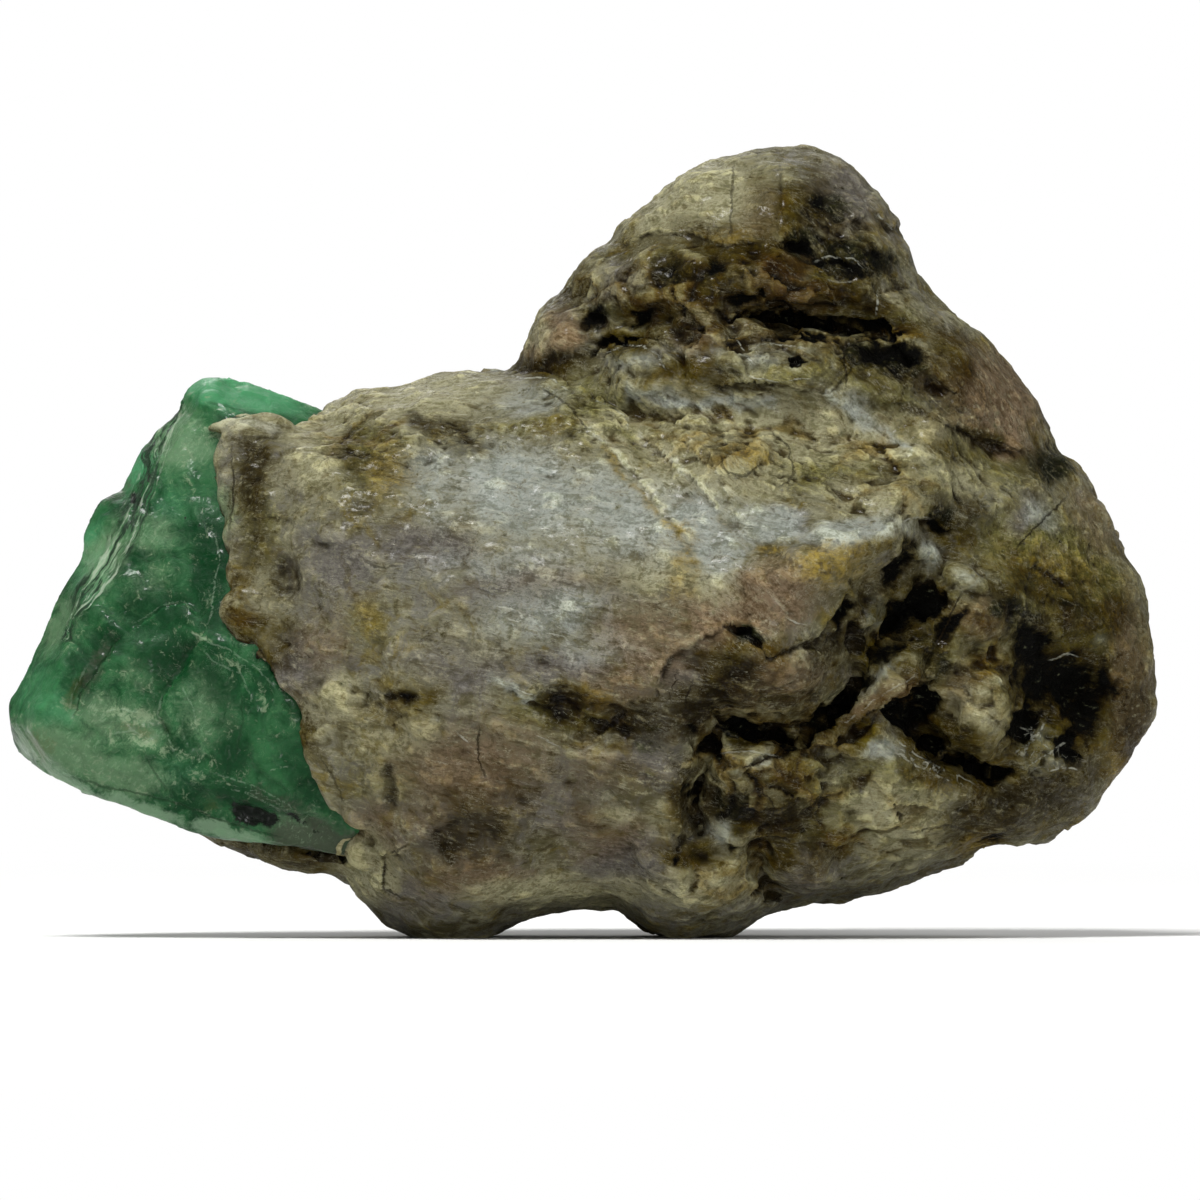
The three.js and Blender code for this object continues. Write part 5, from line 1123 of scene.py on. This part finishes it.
# Clear depths, clouds, stains and painted light of the crystal's front: [x, z, half length, half width, turn,
# strength].
CRYSTAL_PATCHES = {
    "haze": [
        [-20.3, 24.8, 1.2, 1.5, -20, 0.9], [-19.2, 24.4, 0.8, 1.2, 0, 0.7],
        [-22.6, 10.6, 2.2, 1.2, -10, 0.75], [-26, 9.4, 2.4, 1.3, -12, 0.95], [-23, 8.2, 2.2, 1, -14, 0.9],
        [-19, 11.4, 1.6, 1.8, 0, 0.5], [-13.8, 5.6, 1.6, 0.9, -15, 0.9], [-21.6, 17.8, 1.4, 1, 20, 0.35],
        [-26, 15.8, 0.7, 1.8, -30, 0.7], [-24.6, 9.4, 2, 0.6, -20, 0.6], [-21.6, 20.2, 1.4, 1, 0, 0.6],
        [-23.8, 19, 0.9, 2, -30, 1], [-24.2, 11.2, 1.4, 0.9, -10, 0.8], [-22, 13.2, 1.2, 0.8, 30, 0.4],
    ],
    "bright": [
        # Painted light: lighter green on the crystal's top and its left flank.
        [-17, 27.4, 3.4, 1.1, -8, 1.1], [-22.4, 23.4, 0.7, 1.2, -30, 0.9], [-24.4, 20, 0.7, 1.2, -35, 0.9],
        [-24.4, 18.2, 0.8, 1.6, -30, 0.7], [-26.2, 11.4, 1.6, 1.2, 0, 0.5], [-27, 12, 1.4, 2.2, 0, 0.4],
        [-20.6, 21.6, 1, 0.9, 0, 0.35], [-20.4, 8.2, 1.6, 1, 0, 0.3],
    ],
    "deep": [
        [-18.6, 18.2, 0.8, 2.6, 0, 1.6], [-19.2, 20.2, 1, 1.6, 0, 0.6], [-20.6, 14.2, 1.6, 1.2, 45, 0.9],
        [-20.2, 16.4, 1.4, 0.9, 0, 0.8], [-18.4, 13.6, 0.9, 1, 0, 0.7], [-12.8, 5.4, 1, 0.6, -20, 0.7],
        [-13.2, 4.4, 1, 0.5, -15, 0.8], [-23.6, 14.8, 1.4, 0.7, 30, 0.9], [-21.8, 16.4, 1.6, 1, 0, 0.5],
        [-17.4, 9.4, 0.9, 1.8, 0, 0.6], [-14.4, 8.6, 0.9, 1.4, 15, 0.7], [-25, 17.4, 0.5, 1.2, -30, 0.5],
        [-18.2, 12.6, 0.7, 1.4, 20, 0.6], [-16.6, 7, 2.4, 0.6, -15, 0.9], [-23.2, 21.4, 0.5, 1, -30, 0.4],
        [-24.6, 12.4, 0.4, 1.6, -25, 0.5], [-14.4, 6.4, 1.4, 0.5, -20, 0.7],
    ],
    "rust": [
        [-25.2, 12.4, 0.9, 0.3, 62, 0.6], [-22.2, 10.3, 1.2, 0.5, -10, 0.5], [-18.4, 6.8, 0.5, 0.4, 0, 0.5],
        [-27.2, 9.6, 0.9, 0.8, 0, 0.5],
    ],
    "bevel": [
        [-25.6, 7.8, 1.8, 0.35, -28, 0.8], [-22, 6.4, 2.6, 0.45, -16, 0.9],
        [-17.6, 5.2, 2.6, 0.45, -14, 0.9], [-27.8, 9.4, 0.6, 1, 20, 0.6],
    ],
    "pale": [
        [-22.4, 11, 1.6, 0.5, -15, 0.6], [-18.9, 14.9, 0.7, 0.2, -20, 0.5],
        [-17.6, 13.9, 1.3, 0.2, -35, 0.4], [-22.2, 9.8, 1.4, 0.3, -10, 0.5],
        [-18.4, 25.2, 0.7, 0.4, 0, 0.5], [-19.6, 10.6, 0.8, 0.3, 0, 0.4], [-16, 11.6, 0.2, 0.9, 0, 0.5],
    ],
    "grey": [
        [-13, 4.6, 2.2, 0.9, -15, 1.8], [-13.2, 5.6, 1.3, 0.5, -25, 0.8], [-16.2, 4.4, 1.2, 0.3, -14, 0.8],
        [-15.4, 7, 1.6, 0.4, -20, 0.5], [-24.2, 13.6, 0.4, 1.6, -28, 0.6],
        [-23.2, 22.4, 0.4, 1.2, -35, 0.5],
    ],
    "inclusion": [
        [-16.6, 6.25, 0.95, 0.5, -20, 1], [-15.6, 5.9, 0.5, 0.3, 0, 0.9], [-14.2, 6, 0.5, 0.18, -30, 0.8],
        [-13.4, 5.4, 0.4, 0.15, -20, 0.7], [-22.3, 21.8, 0.22, 0.3, 30, 0.9],
        [-21.7, 23.1, 0.15, 0.3, 0, 0.8], [-20, 21, 0.1, 0.1, 0, 0.8], [-19.3, 20.5, 0.08, 0.08, 0, 0.8],
    ],
}

# Swellings of its front: [x, z, half length, half width, turn, height].
CRYSTAL_SWELLINGS = [
    [-19.2, 27.2, 1, 0.8, 30, 0.35], [-17.4, 27.9, 0.6, 0.5, 0, -0.2], [-24.3, 20.7, 0.9, 1.7, -35, 0.7],
    [-22.4, 23.6, 0.6, 1.2, -35, 0.2], [-26.6, 12.6, 1.2, 1.8, -20, 0.25], [-23, 17.4, 1.2, 0.9, 20, 0.2],
    [-21.4, 24, 0.5, 1.6, -20, 0.15], [-16.6, 6.2, 0.8, 0.4, -20, -0.25],
]

# The crystal's worn front edge, as a path of [x, z, half width].
WORN_EDGE = [
    [-20, 26.6, 0.2], [-20.9, 25.2, 0.4], [-21.5, 23.4, 0.5], [-22.2, 21.4, 0.5], [-23.2, 19.4, 0.6],
    [-24.3, 17.6, 0.6], [-25.2, 16.2, 0.4], [-25.9, 15, 0.2],
]

# Steps down to the ground at the right of a path of [x, z]: how deep, how far they fade, and the path.
CRYSTAL_STEPS = [
    (0.6, 1.6, [[-18.8, 15.2], [-19.6, 14], [-20.3, 12.8], [-20.9, 12], [-21.1, 11], [-20.5, 9.9]]),
    (0.5, 1.6, [[-22.9, 15.1], [-24, 13.7], [-24.9, 12.3], [-25.4, 10.8]]),
    (0.4, 1.4, [[-19, 15.8], [-19.7, 16.6], [-20.8, 16.4], [-22.3, 15.7], [-22.9, 15.1]]),
]

# Dark clefts, and pale lines of its front that are partly white veins and partly painted highlights along lit
# edges: how strong, and the path as [x, z].
CLEFTS = [
    (0.9, [[-22.9, 15.1], [-24, 13.7], [-24.9, 12.3], [-25.4, 10.8]]),
    (0.7, [[-26.4, 8.3], [-24, 7.6], [-22, 7.2], [-20, 6.7], [-18, 5.9], [-16, 5.3], [-14.2, 4.8]]),
    (0.5, [[-19, 26.75], [-17, 26.3], [-14.7, 25.6]]), (0.6, [[-19.3, 15], [-20.2, 13.4], [-20.9, 12.2]]),
    (0.5, [[-21.9, 9.4], [-21.2, 8.2], [-20.6, 7.2]]), (0.4, [[-23, 19.4], [-21.8, 18.8], [-20.6, 19]]),
    (0.5, [[-17, 12.6], [-16.9, 10.8], [-17.3, 9]]),
]
VEINS_AND_HIGHLIGHTS = [
    (0.7, [[-18.3, 20.4], [-18.1, 19], [-18.3, 17.5], [-18.5, 16.2], [-18.8, 15.2]]),
    (0.4, [[-22.6, 15.6], [-21.5, 16.2], [-20.8, 16.6], [-20, 16.8], [-19.2, 16.2]]),
    (0.45, [[-19.7, 15.4], [-18.7, 14.8], [-17.4, 14.3], [-16.1, 13.4], [-15.2, 12.3]]),
    (0.4, [[-19.2, 14.6], [-18.2, 13.7], [-17, 13.2], [-16.5, 12], [-16.7, 10.4]]),
    (0.6, [[-20.9, 12.2], [-21.2, 11.2], [-20.6, 10], [-20.3, 9.2]]), (0.8, [[-15.6, 8.35], [-14.6, 8.6]]),
    (0.5, [[-18.6, 8.3], [-16.8, 7.8], [-15.2, 7], [-14, 6.2]]),
    (0.5, [[-18, 7.6], [-16.4, 7.1], [-15, 6.4]]), (0.6, [[-23.8, 11.2], [-22.8, 11.5], [-21.8, 11.2]]),
    (0.5, [[-23.6, 10.2], [-22.4, 10.4], [-21.4, 9.8]]), (0.5, [[-20, 12.6], [-19.4, 11.6], [-19.2, 10.4]]),
    (0.4, [[-22, 18.4], [-21, 17.8], [-20.2, 18.2]]),
    (0.5, [[-20.6, 25.6], [-21, 24.2], [-21.7, 22.6], [-22.6, 20.4]]),
    (0.5, [[-18.4, 25.6], [-16.6, 25.9]]), (0.4, [[-24.6, 13.8], [-25.4, 12.2], [-25.8, 11]]),
    (0.3, [[-17.4, 5.2], [-15.6, 4.8], [-14.4, 4.6]]),
]


def worn_edge(crystal, height):
    """The ribs and the stripes of the worn edge, on the faces that look to the front."""
    far, hand, along = crystal.line(WORN_EDGE)
    worn = soft_edge(far) * eased(crystal.normals[:, 1], 0.15, -0.1)
    across, lengthwise = hand * far, along * LENGTH_OF_EDGE
    ribs = np.stack([across, np.zeros(len(across)), lengthwise / RIB_LENGTH], axis=1)
    height += worn * 0.2 * fractal(ribs, 0.5, seed=113, octaves=3)
    crystal.mark("band", worn)
    crystal.measure("band_across", np.clip(across, -FAR_OFF, FAR_OFF) / 2)
    crystal.measure("band_along", lengthwise)


def crystal_surface():
    """The crystal as a fine surface, with its worn faces and its marks."""
    crystal = Surface("emerald_crystal", voxel=0.14, wear=22)
    crystal.warp(1.6, 0.25, seed=111)
    height = 0.12 * fractal(crystal.points, 3.2, seed=103, octaves=2)
    height += 0.04 * fractal(crystal.points, 0.9, seed=107, octaves=3)
    _, owner, tilt = grains(stretched(crystal.points, CRYSTAL_GRAIN, 1.8), 1.7, seed=109)
    height += 0.03 * (owner - 0.5) + 0.05 * tilt
    crystal.swell(height, CRYSTAL_SWELLINGS)
    for step in CRYSTAL_STEPS:
        height -= crystal.terrace(*step)
    worn_edge(crystal, height)
    crystal.push(height)
    crystal.warp(1.2, 0.3, seed=121)
    for name, patches in CRYSTAL_PATCHES.items():
        crystal.mark(name, crystal.strongest(patches))
    crystal.warp(0.9, 0.1, seed=131)
    crystal.draw("crack", CLEFTS)
    crystal.draw("glint", VEINS_AND_HIGHLIGHTS)
    return crystal


# ---------- the stage ----------

FLOOR_RADIUS = 3.0  # metres
FRAMED_WIDTH = 60  # how wide the camera's view is at the specimen, in millimetres
AIM_RIGHT = 0.8  # how far right of the box's middle the camera aims, in millimetres
AIM_HEIGHT = 0.4273  # and how high, as a share of the box's height
FOCAL_LENGTH, SENSOR_WIDTH = 600, 36  # of the camera, in millimetres
WHITE = tone(1, 1, 1)
# Each lamp: the azimuth and elevation it shines from, its distance and size in metres, and its watts.
LAMPS = [
    ["key_softbox", -28, 58, 0.9, 0.35, 9.4],
    ["fill_softbox", 50, 24, 1.2, 0.7, 3.0],
    ["low_softbox", 8, 2, 1.2, 0.5, 5.5],
    ["back_softbox", 190, 38, 1.2, 0.7, 5.0],
]
AIR_LOW, AIR_HIGH = 0.12, 0.27  # how bright the air is at the horizon and overhead
AIR_START, AIR_END = -0.1, 0.9  # the heights between which it brightens, where straight up is 1
FLOOR_COLOUR = tone(0.8, 0.8, 0.79)
# The white far off is the floor's own glow, which also lights the specimen from low down.
FLOOR_START, FLOOR_END = 0.02, 0.32  # how far from the middle the floor turns white, in metres


def aim_point():
    """What the camera and the lamps point at."""
    return Vector((ORIGIN[0] + AIM_RIGHT * MM, ORIGIN[1], LOW.z + AIM_HEIGHT * (HIGH.z - LOW.z)))


def pale_floor():
    """A plain pale floor that glows white farther off, blending into the backdrop and lighting the specimen
    from low down.
    """
    mesh = bpy.data.meshes.new("floor")
    disc = bmesh.new()
    bmesh.ops.create_circle(disc, cap_ends=True, segments=96, radius=FLOOR_RADIUS)
    disc.to_mesh(mesh)
    disc.free()
    floor = bpy.data.objects.new("floor", mesh)
    bpy.context.scene.collection.objects.link(floor)
    paper = Finish(bpy.data.materials.new("floor_finish"))
    length = paper.add("VectorMath", {"operation": "LENGTH"}, {0: paper.place})
    glow_share = paper.rise(length.outputs["Value"], FLOOR_START, FLOOR_END)
    near = paper.add("BsdfDiffuse", {}, {"Color": FLOOR_COLOUR})
    # The floor's glow, not a lamp, mixed in with distance.
    far = paper.add("Emission", {}, {"Color": WHITE, "Strength": 1.0})
    mixed = paper.add("MixShader", {}, {0: glow_share, 1: near.outputs[0], 2: far.outputs[0]})
    mesh.materials.append(paper.done(mixed.outputs[0]))


def studio_air():
    """Soft light from all round, stronger from above, in front of a white backdrop."""
    world = bpy.data.worlds.new("studio_air")
    air = Finish(world)
    way = air.add("TexCoord", {}, {}).outputs["Generated"]
    height = air.add("SeparateXYZ", {}, {0: way}).outputs["Z"]
    heights = {"Value": height, "From Min": AIR_START, "From Max": AIR_END}
    strength = air.add("MapRange", {}, {**heights, "To Min": AIR_LOW, "To Max": AIR_HIGH}).outputs[0]
    light = air.add("Background", {}, {"Color": WHITE, "Strength": strength})
    backdrop = air.add("Background", {}, {"Color": WHITE})
    seen = air.add("LightPath", {}, {}).outputs["Is Camera Ray"]
    mixed = air.add("MixShader", {}, {0: seen, 1: light.outputs[0], 2: backdrop.outputs[0]})
    bpy.context.scene.world = air.done(mixed.outputs[0], "OutputWorld")


def lamps():
    """The softboxes, pointed at the specimen."""
    for name, azimuth, elevation, distance, size, power in LAMPS:
        softbox = bpy.data.lights.new(name, "AREA")
        softbox.shape = "DISK"
        softbox.size = size
        softbox.energy = power
        holder = bpy.data.objects.new(name, softbox)
        turn, rise = math.radians(azimuth), math.radians(elevation)
        back = Vector((math.sin(turn) * math.cos(rise), -math.cos(turn) * math.cos(rise), math.sin(rise)))
        holder.location = aim_point() + back * distance
        holder.rotation_euler = (-back).to_track_quat("-Z", "Y").to_euler()
        bpy.context.scene.collection.objects.link(holder)


def camera():
    """A long lens, level with the specimen, straight at its front."""
    lens = bpy.data.cameras.new("camera")
    lens.lens = FOCAL_LENGTH
    lens.sensor_width = SENSOR_WIDTH
    lens.clip_end = 20  # metres
    holder = bpy.data.objects.new("camera", lens)
    holder.location = aim_point() - Vector((0, FRAMED_WIDTH * MM * FOCAL_LENGTH / SENSOR_WIDTH, 0))
    holder.rotation_euler = (math.radians(90), 0, 0)
    bpy.context.scene.collection.objects.link(holder)
    bpy.context.scene.camera = holder


bpy.context.scene.view_settings.view_transform = "Standard"
pale_floor()
studio_air()
lamps()
camera()

crystal = crystal_surface()
rock = rock_surface(crystal)
crystal_piece = crystal.finished("emerald_crystal_body", emerald_finish())
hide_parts("emerald_crystal")
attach(crystal_piece, "root")

rock_piece = rock.finished("mica_rock_body", rock_finish())
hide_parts("matrix")
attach(rock_piece, "root")
